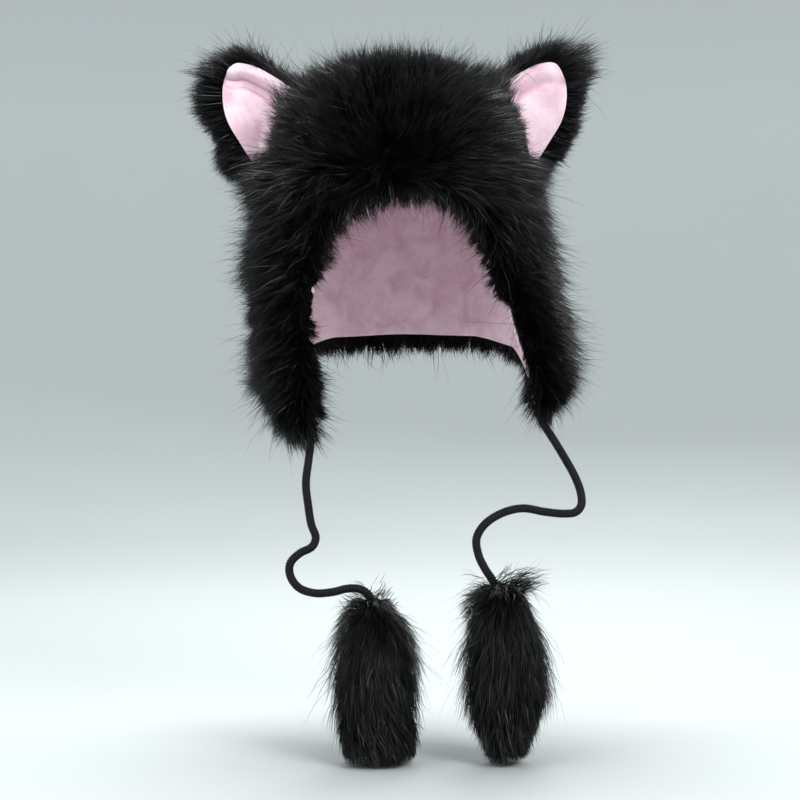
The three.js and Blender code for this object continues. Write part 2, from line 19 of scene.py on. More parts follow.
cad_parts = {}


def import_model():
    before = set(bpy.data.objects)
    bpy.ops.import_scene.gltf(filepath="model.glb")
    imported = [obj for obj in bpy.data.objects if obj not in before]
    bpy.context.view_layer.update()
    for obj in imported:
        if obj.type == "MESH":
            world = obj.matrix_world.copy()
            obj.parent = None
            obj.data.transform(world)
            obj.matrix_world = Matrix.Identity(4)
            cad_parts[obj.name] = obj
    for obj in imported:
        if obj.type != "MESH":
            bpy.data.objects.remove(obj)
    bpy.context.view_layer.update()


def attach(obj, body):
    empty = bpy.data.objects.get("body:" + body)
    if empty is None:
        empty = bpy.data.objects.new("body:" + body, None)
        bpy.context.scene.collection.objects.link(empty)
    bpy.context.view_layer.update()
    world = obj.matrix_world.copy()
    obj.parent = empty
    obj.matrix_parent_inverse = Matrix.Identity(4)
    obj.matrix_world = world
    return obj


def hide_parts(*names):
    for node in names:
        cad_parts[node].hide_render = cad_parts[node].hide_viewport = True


LOG = logging.getLogger("cat ear beanie")

METRES = 0.001
GAP = 0.3
TINY = 1e-6
UP = np.array([0.0, 0.0, 1.0])
BODY = "root"
BLACK_FUR_SLOT = "black_fur"
PINK_PLUSH_SLOT = "pink_plush"
BLACK_CORD_SLOT = "black_cord"
BAKE_LAYER = "OFBake"
THREAD_HEIGHT = "thread_height"
# Mesh layer of the painted shade in the crease under a cat ear's rolled edge
CREASE_SHADE = "crease"

Floats = np.ndarray
Chance = np.random.Generator
Colour = tuple[float, float, float]
Faces = list[tuple[int, ...]]
Material = bpy.types.Material
Mesh = bpy.types.Mesh
Node = bpy.types.Node
Piece = bpy.types.Object
Socket = bpy.types.NodeSocket
Tree = bpy.types.NodeTree


def lerp(start: Floats | float, end: Floats | float, share: Floats | float) -> Floats | float:
    """Blend from start to end by share."""
    return start + (end - start) * share


def smooth(share: Floats) -> Floats:
    """Ease a share from 0 to 1 at both ends."""
    held = np.clip(share, 0.0, 1.0)
    return held * held * (3.0 - 2.0 * held)


def unit(vectors: Floats) -> Floats:
    """Scale each row to length 1."""
    return vectors / np.maximum(np.linalg.norm(vectors, axis=-1, keepdims=True), 1e-9)


def across(vectors: Floats, axis: Floats) -> Floats:
    """Take from each row its part along the unit axis."""
    return vectors - axis * np.sum(vectors * axis, axis=-1, keepdims=True)


def turned(start: Floats, towards: Floats, degrees: Floats) -> Floats:
    """Turn rows from start towards directions square to them, each by its own degrees."""
    angle = np.radians(degrees)[:, None]
    return start * np.cos(angle) + towards * np.sin(angle)


def wedge(first: Floats, second: Floats) -> Floats:
    """Take the flat cross product of rows of two."""
    return first[..., 0] * second[..., 1] - first[..., 1] * second[..., 0]


def bell(values: Floats, middle: float, width: Floats | float) -> Floats:
    """Rise to 1 at a middle, and fall off within a width on both sides."""
    return np.exp(-(((values - middle) / width) ** 2))


def signed_power(values: Floats, exponent: float) -> Floats:
    """Raise the size of each value to a power and keep its sign."""
    return np.sign(values) * np.abs(values) ** exponent


@dataclass(frozen=True)
class Waves:
    """A smooth noise made of plane waves.

    Attributes:
        seed: Fixes the waves.
        length: The wave length in millimetres.
        count: How many waves are summed.
    """

    seed: int
    length: float
    count: int = 9

    def read(self, points: Floats) -> Floats:
        """Read the noise.

        Args:
            points: Places, one a row.

        Returns:
            One value a row, mostly between -1 and 1.
        """
        random = np.random.default_rng(self.seed)
        ways = unit(random.normal(size=(self.count, 3)))
        pitch = random.uniform(0.6, 1.6, self.count) * 2.0 * math.pi / self.length
        start = random.uniform(0.0, 2.0 * math.pi, self.count)
        return np.sin(points @ (ways * pitch[:, None]).T + start).sum(axis=1) * 1.6 / self.count


@dataclass(frozen=True)
class Table:
    """Values at stops, read on a smooth curve through them.

    Attributes:
        stops: Where the values are given, rising.
        values: One value for each stop.
    """

    stops: tuple[float, ...]
    values: tuple[float, ...]
    EASE = 0.5

    def read(self, places: Floats) -> Floats:
        """Read the table.

        Args:
            places: Where it is read.

        Returns:
            A value for each place.
        """
        stops, values = np.array(self.stops), np.array(self.values)
        held = np.clip(places, stops[0], stops[-1])
        row = np.clip(np.searchsorted(stops, held) - 1, 0, len(stops) - 2)
        share = (held - stops[row]) / (stops[row + 1] - stops[row])
        return lerp(values[row], values[row + 1], lerp(share, smooth(share), self.EASE))


def columns_of(rows: tuple[tuple[float, ...], ...]) -> list[tuple[float, ...]]:
    """Turn a table's rows into its columns."""
    return [tuple(column) for column in zip(*rows)]


# Inner half sizes of the hat by depth, and how far the front edge of each flap is pushed outwards
SECTIONS = columns_of((
    # depth, left, right, front, back, left flare, right flare
    (0, 84, 84, 98, 98, 0, 0),
    (85, 85, 85, 99, 99, 0, 0),
    (130, 90, 88, 100, 97, 2, 1),
    (175, 90, 93, 99, 92, 5, 11),
    (225, 88, 100, 98, 88, 4, 18),
    (270, 83, 102, 97, 86, 3, 26),
))

# Lower edge of each side of the hat: turn from the front, depth
EDGE_RIGHT = columns_of((
    (0, 78), (20, 80), (34, 92), (42, 122), (46, 165), (49, 210), (56, 240), (64, 250), (76, 243),
    (92, 222), (114, 196), (145, 186), (180, 184),
))
EDGE_LEFT = columns_of((
    (0, 78), (20, 81), (33, 95), (41, 125), (44, 172), (45.5, 225), (48, 249), (53, 258), (68, 252),
    (88, 230), (114, 198), (145, 187), (180, 184),
))


@dataclass(frozen=True)
class HatWall:
    """The wall of the hat: places by turn from the front, depth, and offset out of the hollow.

    Attributes:
        crown_depth: Inner top of the crown down to its widest level.
        crown_squareness: Superellipse exponent of the crown seen from the front.
        plan_squareness: Superellipse exponent seen from above.
        seam_depth: Level of the seam round the foot of the crown.
        band_end: Turn at which the front band meets a flap.
        neck_start: Turn at which a flap meets the neck fur.
    """

    crown_depth: float = 85.0
    crown_squareness: float = 2.5
    plan_squareness: float = 2.25
    seam_depth: float = 52.0
    band_end: float = 43.0
    neck_start: float = 112.0

    def hollow(self, turn: Floats, depth: Floats) -> Floats:
        """Find places on the hat's hollow.

        Args:
            turn: Degrees from the front, positive towards the right.
            depth: Millimetres under the inner top.

        Returns:
            One point a row.
        """
        turn = (turn + 180.0) % 360.0 - 180.0
        angle = np.radians(turn)
        depths, *columns = SECTIONS
        left, right, front, back, flare_left, flare_right = (
            Table(depths, column).read(depth) for column in columns
        )
        width = np.where(turn >= 0, right, left)
        length = np.where(np.cos(angle) >= 0, front, back)
        level = np.maximum(0.0, (self.crown_depth - depth) / self.crown_depth)
        shrink = (1.0 - np.minimum(level, 1.0) ** self.crown_squareness) ** (1.0 / self.crown_squareness)
        exponent = 2.0 / self.plan_squareness
        past = np.clip((np.abs(turn) - self.band_end) / (90.0 - self.band_end), 0.0, 1.0)
        flare = np.where(turn >= 0, flare_right, flare_left)
        flare = np.sign(turn) * np.cos(past * math.pi / 2.0) ** 2 * flare
        x = width * shrink * signed_power(np.sin(angle), exponent) + flare
        y = -length * shrink * signed_power(np.cos(angle), exponent)
        return np.stack([x, y, -depth + np.zeros_like(x)], axis=-1)

    def normal(self, turn: Floats, depth: Floats) -> Floats:
        """Find the directions straight out of the wall.

        Args:
            turn: Degrees from the front.
            depth: Millimetres under the inner top.

        Returns:
            One direction a row.
        """
        deep = np.maximum(depth, 2.0)
        along = self.hollow(turn + 1.0, deep) - self.hollow(turn - 1.0, deep)
        down = self.hollow(turn, deep + 1.0) - self.hollow(turn, deep - 1.0)
        return unit(np.cross(down, along))

    def point(self, turn: Floats, depth: Floats, offset: Floats | float) -> Floats:
        """Find the places at an offset out of the hollow, one a row."""
        return self.hollow(turn, depth) + self.normal(turn, depth) * np.reshape(offset, (-1, 1))

    def edge_depth(self, turn: Floats) -> Floats:
        """Find the depth of the lower edge at each turn."""
        turn = (turn + 180.0) % 360.0 - 180.0
        size = np.abs(turn)
        return np.where(turn >= 0, Table(*EDGE_RIGHT).read(size), Table(*EDGE_LEFT).read(size))

    def edge_outward(self, turn: Floats) -> Floats:
        """Find the directions in the wall that lead square off the lower edge, one a row."""
        after, before = (self.hollow(near, self.edge_depth(near)) for near in (turn + 1.5, turn - 1.5))
        return unit(np.cross(after - before, self.normal(turn, self.edge_depth(turn))))

    def edge_point(self, turn: Floats, offset: Floats | float, hang: Floats | float) -> Floats:
        """Find the places past the lower edge, out by offset and off the edge by hang."""
        base = self.point(turn, self.edge_depth(turn), offset)
        return base + self.edge_outward(turn) * np.reshape(hang, (-1, 1))

    def edge_distance(self, turn: Floats, depth: Floats) -> Floats:
        """Find how far places of the wall are from the lower edge.

        Args:
            turn: Degrees from the front.
            depth: Millimetres under the inner top.

        Returns:
            Millimetres, one a row.
        """
        _, turns = self.columns(400)
        edge = self.hollow(turns, self.edge_depth(turns))
        places = self.hollow(turn, depth)
        squares = (places ** 2).sum(axis=1)[:, None] + (edge ** 2).sum(axis=1) - 2.0 * places @ edge.T
        return np.sqrt(np.maximum(squares.min(axis=1), 0.0))

    def crown_level(self, angle: Floats) -> Floats:
        """Find the depth of the crown at angles of its quarter turn from the top."""
        return self.crown_depth * (1.0 - np.cos(np.radians(angle)) ** (2.0 / self.crown_squareness))

    def columns(self, count: int) -> tuple[Floats, Floats]:
        """Lay out columns round the hat.

        Args:
            count: How many columns.

        Returns:
            The turn of each column at the top, and its turn at the lower edge.
        """
        turns = np.arange(-180.0, 180.25, 0.25)
        steps = np.diff(self.hollow(turns, self.edge_depth(turns)), axis=0)
        length = np.concatenate([[0.0], np.cumsum(np.linalg.norm(steps, axis=1))])
        shares = np.arange(count) / count
        return -180.0 + 360.0 * shares, np.interp(shares * length[-1], length, turns)


@dataclass(frozen=True)
class EarPlace:
    """Where a cat ear stands.

    Attributes:
        name: Which ear.
        side: -1 for the left, 1 for the right.
        base: Its base centre.
        toe: Degrees by which its face looks towards its own side's front.
    """

    name: str
    side: int
    base: tuple[float, float, float]
    toe: float = 8.0

    def axes(self) -> Floats:
        """Give the directions out from the hat, up, and towards the front, one a row."""
        toe = math.radians(self.toe) * self.side
        out = np.array([math.cos(toe), math.sin(toe), 0.0]) * self.side
        return np.array([out, [0.0, 0.0, 1.0], [math.sin(toe), -math.cos(toe), 0.0]])

    def place(self, local: Floats) -> Floats:
        """Bring rows of out, up and front into the model's frame."""
        return np.array(self.base) + local @ self.axes()

    def turn(self, local: Floats) -> Floats:
        """Bring directions of out, up and front into the model's frame."""
        return local @ self.axes()

    def local(self, points: Floats) -> Floats:
        """Bring points of the model's frame into rows of out, up and front."""
        return (points - np.array(self.base)) @ self.axes().T


EAR_PLACES = (
    EarPlace("left", -1, (-105.0, -8.0, -25.0)),
    EarPlace("right", 1, (91.5, -8.0, -24.5)),
)

# Outline of a cat ear: out from the hat, up, and the share of the fur's length there
EAR_OUTLINE = (
    (12, -31, 1.1),
    (25, -11, 1.35),
    (35, 6, 1.45),
    (39, 22, 1.5),
    (38, 38, 1.3),
    (30, 52, 0.95),
    (16, 51, 0.8),
    (0, 43, 0.65),
    (-16, 32, 0.6),
    (-30, 18, 0.6),
)
EAR_ROOT = ((-42, 2, 0), (-24, -22, 0), (-4, -46, 0))
EAR_MIDDLE = np.array([8.0, 10.0])

# How the ears' fur is combed: height over the ear's base, how far it leans out and up there
LEFT_EAR_COMB = ((-25, 0.15, -0.5), (8, 0.3, -0.15), (45, 1.1, 0.1))
RIGHT_EAR_COMB = ((-25, 0.5, 0.1), (8, 0.4, 0.4), (45, 1.1, 0.35))

# Cord routes, from the flap's tip to inside the tassel
CORD_LEFT = (
    (-73.9, -60.9, -259), (-72.8, -62.5, -265.5), (-71.2, -66.5, -273.5), (-72.3, -73, -287),
    (-74, -79, -304), (-72, -84, -321), (-69.5, -88, -335), (-66, -92, -344.5), (-68.5, -96, -351),
    (-78, -100, -356), (-84.5, -104, -363), (-84.5, -107, -371.5), (-78, -110, -380.5),
    (-66, -112, -384.5), (-52.5, -113, -383.6), (-41, -113, -381), (-31.5, -113, -381.6),
    (-25.5, -113, -386), (-22.5, -113, -393), (-21.5, -113, -402), (-21, -113, -416),
)
CORD_RIGHT = (
    (105, -50, -245.2), (105.4, -51.5, -251.5), (108.2, -56, -259), (116.3, -66, -272.8),
    (124, -74, -286.5), (130.3, -82, -299), (134, -90, -311), (133.8, -96, -320),
    (129.5, -99, -324.8), (121, -101, -325.9), (106, -104, -324.4), (89, -107, -321.6), (73, -110, -325.3),
    (60, -112, -334), (54.5, -113, -344), (56, -113, -356), (61, -113, -366.5),
    (67, -113, -376), (70.5, -113, -386), (71.5, -113, -400), (72, -113, -409),
)

# Tassel sections: height, middle across, half width, half depth
TASSEL_Y = -113.0
TASSEL_LEFT = columns_of((
    (-389, -23, 13, 13), (-403, -22, 21, 20), (-420, -21, 25, 23), (-440, -20, 27, 24),
    (-461, -20, 27, 24), (-481, -19, 29.5, 25), (-499, -18.5, 30.5, 24),
))
TASSEL_RIGHT = columns_of((
    (-378, 72, 13, 13), (-392, 73.5, 21, 20), (-410, 75.5, 25, 23), (-431, 77, 27, 24),
    (-453, 78, 27.5, 24), (-475, 77.5, 25, 22), (-495, 76.5, 18, 16),
))
FLOOR_LEVEL = -511.0

# From where the hat is seen from the front
VIEWPOINT = np.array([-2.4, -1600.0, -240.8])

# The fur's edge seen from there, across and up on the plane y = 0: round the crown, ears and flaps
HAT_EDGE = (
    (-85.6, 16), (-74.4, 24.8), (-58.4, 29.6), (-42.4, 34.4), (-22.4, 37.6), (-2.4, 40),
    (17.6, 36.8), (37.6, 32), (60, 26.4), (77.6, 20.8), (87.2, 28.8), (98.4, 35.2),
    (109.6, 40.8), (122.4, 46.4), (135.2, 45.6), (148, 43.2), (156, 37.6), (154.4, 26.4),
    (152.8, 8.8), (149.6, -1.6), (144, -12), (149.6, -18.4), (144, -31.2), (136, -44),
    (125.6, -53.6), (117.6, -66.4), (112, -77.6), (114.4, -87.2), (116.8, -96.8), (116.8, -106.4),
    (120, -125.6), (122.4, -136.8), (125.6, -148), (127.2, -162.4), (127.2, -170.4), (136.8, -184.8),
    (135.2, -189.6), (132.8, -194.4), (137.6, -200.8), (140.8, -210.4), (141.6, -220), (140, -229.6),
    (137.6, -239.2), (132, -245.6), (125.6, -249.6), (119.2, -256), (116, -264.8), (110.4, -264),
    (105.6, -253.6), (101.6, -247.2), (97.6, -232.8), (98.1, -226.4), (97.6, -213.6), (94.4, -199.2),
    (90.4, -184.8), (86.4, -172), (76.8, -161.6), (71.2, -153.6), (66.4, -138.4), (60, -125.6),
    (51.2, -112), (42.4, -99.2), (32.8, -90.4), (21.6, -84.8), (2.4, -85.6), (-17.6, -90.4),
    (-33.6, -98.4), (-42.4, -104.8), (-51.2, -111.2), (-55.2, -122.4), (-60, -138.4), (-66.4, -147.2),
    (-72, -150.4), (-73.6, -162.4), (-72.8, -175.2), (-69.6, -188), (-68.8, -200.8), (-64.8, -216.8),
    (-61.6, -221.6), (-60.8, -232.8), (-60.8, -248.8), (-61.6, -264.8), (-64, -277.6), (-73.6, -281.6),
    (-83.2, -278.4), (-92.8, -273.6), (-102.4, -264.8), (-110.4, -252), (-116.8, -241.6), (-122.4, -231.2),
    (-120.8, -220), (-123.2, -208.8), (-122.4, -199.2), (-120, -189.6), (-121.6, -181.6), (-124.8, -172),
    (-119.2, -168), (-124.8, -157.6), (-130.4, -150.4), (-125.6, -141.6), (-128.8, -132), (-125.6, -112.8),
    (-120, -100), (-125.6, -90.4), (-128, -78.4), (-135.2, -71.2), (-145.6, -71.2), (-153.6, -63.2),
    (-155.2, -47.2), (-158.4, -32), (-167.2, -22.4), (-174.4, -15.2), (-177.6, -2.4), (-175.2, 11.2),
    (-166.4, 21.6), (-157.6, 28.8), (-148.8, 36), (-133.6, 42.4), (-125.6, 39.2), (-112.8, 32),
    (-97.6, 22.4),
)

# The plush of each ear as far as the crown's fur leaves it bare
LEFT_EAR_BARE = (
    (-128.8, 26.4), (-122.4, 24.8), (-111.2, 17.6), (-97.6, 7.2), (-106.4, 5.6), (-114.4, 6.4),
    (-111.2, 0), (-108.8, -6.4), (-104, -13.6), (-104.8, -18.4), (-108, -24.8), (-109.6, -31.2),
    (-111.2, -37.6), (-112.8, -44), (-113.6, -50.4), (-122.4, -42.4), (-128.8, -33.6), (-140, -17.6),
    (-143.2, -2.4), (-142.4, 15.2), (-136.8, 24),
)
RIGHT_EAR_BARE = (
    (81.6, 15.2), (84, 12), (86.4, 5.6), (91.2, -4), (94.4, -12.8), (98.4, -23.2),
    (99.2, -32.8), (100.8, -41.6), (104, -51.2), (113.6, -36), (122.4, -20), (128.8, -1.6),
    (128.8, 11.2), (126.4, 24.8), (119.2, 31.2), (107.2, 28.8), (96.8, 24),
)

# Tufts on top of the tassels: place x, z; direction x, z; length; how many hairs
LEFT_TUFTS = ((-18, -390, 0.5, 1.0, 13, 110), (-32, -390, -0.9, 0.6, 13, 110))
RIGHT_TUFTS = ((73, -380, 0.7, 0.8, 26, 80), (82, -380, 1.0, 0.35, 30, 230), (60, -385, -1.0, 0.3, 17, 110))

# The edges of the tassels' fur
LEFT_TASSEL_EDGE = (
    (-42.4, -401.6), (-48.8, -410.4), (-52.8, -422.4), (-54.4, -439.2), (-55.2, -455.2), (-52, -472.8),
    (-52, -486.4), (-52.8, -500.8), (-52, -513.6), (-46, -536), (-27, -544), (-9, -544),
    (5, -537), (12, -526), (14.4, -512), (12, -500), (9.6, -490.4), (8, -476.8),
    (8, -462.4), (11.2, -450.4), (11.2, -440.8), (5.6, -422.4), (-5.6, -407.2), (-12, -398.4),
    (-25.6, -395.2),
)
RIGHT_TASSEL_EDGE = (
    (74.4, -385.6), (59.2, -391.2), (50.4, -397.6), (48, -404), (52.8, -422.4), (51.2, -436.8),
    (50.4, -449.6), (49.6, -463.2), (49.6, -476.8), (51.2, -500.8), (59.2, -519.2), (66, -534),
    (74, -544), (88, -543), (101, -529), (108.8, -508), (112.8, -494.4), (115.2, -480.8),
    (115.2, -464), (113.6, -448.8), (110.4, -435.2), (103.2, -412.8), (100, -402.4), (97.6, -396),
    (87.2, -388),
)


def spaced_path(points: Floats, count: int) -> Floats:
    """Space places evenly along a centripetal Catmull-Rom curve.

    Args:
        points: The curve's points, one a row.
        count: How many places.

    Returns:
        The places, one a row.
    """
    ends = np.vstack([2 * points[0] - points[1], points, 2 * points[-1] - points[-2]])
    gaps = np.maximum(np.linalg.norm(np.diff(ends, axis=0), axis=1) ** 0.5, 1e-4)
    fine = np.linspace(0.0, 1.0, 40, endpoint=False)[:, None]
    runs = []
    for step in range(1, len(ends) - 2):
        before, start, end, after = ends[step - 1:step + 3]
        first, middle, last = gaps[step - 1:step + 2]
        leave = (start - before) / first - (end - before) / (first + middle) + (end - start) / middle
        arrive = (end - start) / middle - (after - start) / (middle + last) + (after - end) / last
        leave, arrive = leave * middle, arrive * middle
        square, cube = fine ** 2, fine ** 3
        runs.append(
            start + leave * fine
            + (-3 * start + 3 * end - 2 * leave - arrive) * square
            + (2 * start - 2 * end + leave + arrive) * cube
        )
    line = np.vstack([*runs, points[-1:]])
    length = np.concatenate([[0.0], np.cumsum(np.linalg.norm(np.diff(line, axis=0), axis=1))])
    wanted = np.linspace(0.0, length[-1], count)
    return np.stack([np.interp(wanted, length, column) for column in line.T], axis=1)


def path_length(points: Floats) -> float:
    """Measure the smooth curve through points, in millimetres."""
    line = spaced_path(points, 2000)
    return float(np.linalg.norm(np.diff(line, axis=0), axis=1).sum())


class NodeSheet:
    """Adds nodes to a node tree and links them."""

    def __init__(self, tree: Tree) -> None:
        """Keep the tree that the nodes go into."""
        self.tree = tree

    def add(self, kind: str, settings: dict | None = None, **inputs: object) -> Node:
        """Add a node.

        Args:
            kind: The node's type.
            settings: Properties to set on the node.
            **inputs: Values or sockets by input name, with _ for a space.

        Returns:
            The node.
        """
        node = self.tree.nodes.new(kind)
        for key, value in (settings or {}).items():
            setattr(node, key, value)
        self.fill(node, **inputs)
        return node

    def make(self, kind: str, settings: dict | None = None, **inputs: object) -> Socket:
        """Add a node as add does, and give its first output."""
        return self.add(kind, settings, **inputs).outputs[0]

    def fill(self, node: Node, **inputs: object) -> None:
        """Feed a node's inputs by name, with _ for a space."""
        for key, value in inputs.items():
            self.feed(node.inputs[key.replace("_", " ")], value)

    def feed(self, target: Socket, value: object) -> None:
        """Link a socket to an input, or set the input's value.

        Args:
            target: The input.
            value: A socket or a plain value.
        """
        if isinstance(value, bpy.types.NodeSocket):
            self.tree.links.new(value, target)
        else:
            target.default_value = value

    def sum(self, operation: str, *terms: object, kind: str = "ShaderNodeMath") -> Socket:
        """Add a math node.

        Args:
            operation: What it does.
            *terms: Values or sockets, in order.
            kind: The node's type.

        Returns:
            Its output.
        """
        node = self.add(kind, {"operation": operation})
        for socket, term in zip(node.inputs, terms):
            self.feed(socket, term)
        return node.outputs[0]

    def scaled(self, vector: Socket, share: object) -> Socket:
        """Scale a vector socket, and give the result."""
        return self.make("ShaderNodeVectorMath", {"operation": "SCALE"}, Vector=vector, Scale=share)

    def added(self, first: Socket, second: Socket) -> Socket:
        """Add two vector sockets, and give the result."""
        return self.sum("ADD", first, second, kind="ShaderNodeVectorMath")

    def ramp(self, place: Socket, stops: tuple[tuple[float, Colour], ...]) -> Socket:
        """Add a colour ramp.

        Args:
            place: What the ramp is read by.
            stops: Positions and colours.

        Returns:
            The colour output.
        """
        node = self.add("ShaderNodeValToRGB", Fac=place)
        elements = node.color_ramp.elements
        while len(elements) < len(stops):
            elements.new(0.5)
        for element, (position, colour) in zip(elements, stops):
            element.position = position
            element.color = (*colour, 1.0)
        return node.outputs["Color"]

    def place(self) -> Socket:
        """Give the place on the object in metres."""
        return self.add("ShaderNodeTexCoord").outputs["Object"]

    def noise(self, place: Socket, scale: float, detail: float, **inputs: float) -> Socket:
        """Add a noise texture, and give its value."""
        return self.make("ShaderNodeTexNoise", Vector=place, Scale=scale, Detail=detail, **inputs)

    def bump(self, height: Socket, strength: float, distance: float) -> Socket:
        """Turn a height into a bump, and give its normal."""
        return self.make("ShaderNodeBump", Height=height, Strength=strength, Distance=distance)

    def stored_fac(self, name: str) -> Socket:
        """Read a number that is stored on the mesh."""
        return self.add("ShaderNodeAttribute", {"attribute_name": name}).outputs["Fac"]

    def named(self, name: str, kind: str = "FLOAT") -> Socket:
        """Read a named attribute of the geometry."""
        return self.make("GeometryNodeInputNamedAttribute", {"data_type": kind}, Name=name)

    def store(self, geometry: Socket, name: str, value: Socket) -> Socket:
        """Store a number on each point, and give the geometry."""
        kinds = {"data_type": "FLOAT", "domain": "POINT"}
        return self.make("GeometryNodeStoreNamedAttribute", kinds, Geometry=geometry, Name=name, Value=value)

    def finish(self, shape: Socket, spent: tuple[str, ...], material: Socket) -> Socket:
        """End a geometry tree.

        Args:
            shape: The geometry.
            spent: Names of the attributes that aren't needed any more.
            material: What it is dressed in.

        Returns:
            The geometry, realized, smooth and dressed.
        """
        for name in spent:
            shape = self.make("GeometryNodeRemoveAttribute", Geometry=shape, Name=name)
        shape = self.make("GeometryNodeSetShadeSmooth", Geometry=shape)
        shape = self.make("GeometryNodeRealizeInstances", Geometry=shape)
        return self.make("GeometryNodeSetMaterial", Geometry=shape, Material=material)


def new_material(name: str) -> tuple[Material, NodeSheet, Node]:
    """Start a material.

    Args:
        name: The material's name.

    Returns:
        The material, its node sheet, and its Principled shader.
    """
    material = bpy.data.materials.new(name)
    material.use_nodes = True
    return material, NodeSheet(material.node_tree), material.node_tree.nodes["Principled BSDF"]


def new_tree(name: str, made: str, inputs: dict[str, str]) -> tuple[Tree, NodeSheet]:
    """Start a Geometry Nodes tree.

    Args:
        name: The tree's name.
        made: The name of the geometry that it gives.
        inputs: What each input takes, by its name.

    Returns:
        The tree and its node sheet.
    """
    tree = bpy.data.node_groups.new(name, "GeometryNodeTree")
    for label, kind in inputs.items():
        tree.interface.new_socket(label, in_out="INPUT", socket_type=f"NodeSocket{kind}")
    tree.interface.new_socket(made, in_out="OUTPUT", socket_type="NodeSocketGeometry")
    return tree, NodeSheet(tree)


@dataclass(frozen=True)
class StrandFinish:
    """The look of single strands, read from their own map: tone across, root to tip upwards.

    Attributes:
        name: The material's name.
        root: Colour at the skin.
        middle: Colour along the strand.
        tip: Colour of the ends.
        least: Light of the darkest tone.
        lift: How much lighter the lightest tone is.
        spread: How much strands of one tone differ in light.
        roughness: Of the strand's surface.
        rough_spread: How much strands differ in roughness.
    """

    name: str = "black_fur_strands"
    root: Colour = (0.0006, 0.0006, 0.0007)
    middle: Colour = (0.0042, 0.0044, 0.0049)
    tip: Colour = (0.0085, 0.0089, 0.0096)
    least: float = 0.12
    lift: float = 2.7
    spread: float = 0.5
    roughness: float = 0.36
    rough_spread: float = 0.16

    TONES = 64

    def build(self) -> Material:
        """Build the material.

        Returns:
            The material.
        """
        material, sheet, shader = new_material(self.name)
        layer = sheet.make("ShaderNodeUVMap", {"uv_map": BAKE_LAYER})
        split = sheet.add("ShaderNodeSeparateXYZ", Vector=layer).outputs
        tone = split["X"]
        number = sheet.sum("FLOOR", sheet.sum("MULTIPLY", tone, float(self.TONES)))
        chance = sheet.make("ShaderNodeTexWhiteNoise", {"noise_dimensions": "1D"}, W=number)
        stops = ((0.0, self.root), (0.35, self.middle), (0.8, self.middle), (1.0, self.tip))
        # The tone, and so this light, holds painted light and shade by place as well as each strand's own
        # tone
        light = sheet.sum("MULTIPLY_ADD", sheet.sum("MULTIPLY", tone, tone), self.lift, self.least)
        differing = sheet.sum("MULTIPLY_ADD", chance, self.spread, 1.0 - self.spread / 2.0)
        light = sheet.sum("MULTIPLY", light, differing)
        smoothest = self.roughness - self.rough_spread / 2.0
        sheet.fill(
            shader,
            Base_Color=sheet.scaled(sheet.ramp(split["Y"], stops), light),
            Roughness=sheet.sum("MULTIPLY_ADD", chance, self.rough_spread, smoothest),
            Specular_IOR_Level=0.18,
        )
        return material


@dataclass(frozen=True)
class UnderfurFinish:
    """The look of the short dense underfur between the strands.

    Attributes:
        name: The material's name.
        dark: Colour in the hollows.
        light: Colour of the raised fibres.
        grain: Fibres a metre.
        stretch: Their width as a share of their height.
    """

    name: str = "black_underfur"
    dark: Colour = (0.0006, 0.0006, 0.0007)
    light: Colour = (0.0025, 0.0026, 0.0029)
    grain: float = 900.0
    stretch: float = 0.22

    def build(self) -> Material:
        """Build the material.

        Returns:
            The material.
        """
        material, sheet, shader = new_material(self.name)
        upright = sheet.make("ShaderNodeMapping", Vector=sheet.place(), Scale=(1.0, 1.0, self.stretch))
        fibres = sheet.noise(upright, self.grain, 3.0, Roughness=0.65)
        sheet.fill(
            shader,
            Base_Color=sheet.ramp(fibres, ((0.35, self.dark), (0.7, self.light))),
            Normal=sheet.bump(fibres, strength=0.8, distance=0.001),
            Roughness=0.85,
            Specular_IOR_Level=0.1,
        )
        return material


@dataclass(frozen=True)
class PlushFinish:
    """The look of short-pile plush, with painted shade where the mesh marks a crease.

    Attributes:
        name: The material's name.
        creased: Colour of the painted shade deep in a crease.
        deep: Colour between the fibres and in rubbed places.
        lit: Colour of the fibres' ends.
        nap: Fibres a metre.
        crush: Rubbed places a metre.
        nap_share: Share of the fibres in the colour; the rest is the rubbed places'.
        crease_shade_strength: How much the painted shade darkens a crease.
    """

    name: str = "pink_plush_nap"
    creased: Colour = (0.45, 0.20, 0.28)
    deep: Colour = (0.68, 0.39, 0.49)
    lit: Colour = (0.92, 0.73, 0.80)
    nap: float = 1400.0
    crush: float = 55.0
    nap_share: float = 0.55
    crease_shade_strength: float = 0.4

    def build(self) -> Material:
        """Build the material.

        Returns:
            The material.
        """
        material, sheet, shader = new_material(self.name)
        place = sheet.place()
        nap = sheet.noise(place, self.nap, 4.0, Roughness=0.7)
        crush = sheet.noise(place, self.crush, 3.0, Distortion=0.6)
        mixed = sheet.sum(
            "ADD",
            sheet.sum("MULTIPLY", nap, self.nap_share),
            sheet.sum("MULTIPLY", crush, 1.0 - self.nap_share),
        )
        # Painted shade: the colour darkens where the mesh marks the crease
        crease = sheet.sum("MULTIPLY", sheet.stored_fac(CREASE_SHADE), self.crease_shade_strength)
        colours = ((0.12, self.creased), (0.34, self.deep), (0.58, self.lit))
        height = sheet.sum("ADD", nap, sheet.sum("MULTIPLY", crush, 1.4))
        sheet.fill(
            shader,
            Base_Color=sheet.ramp(sheet.sum("SUBTRACT", mixed, crease), colours),
            Normal=sheet.bump(height, strength=0.55, distance=0.0011),
            Roughness=0.95,
            Specular_IOR_Level=0.15,
            Sheen_Weight=0.5,
            Sheen_Roughness=0.5,
            Sheen_Tint=(1.0, 0.86, 0.92, 1.0),
        )
        return material


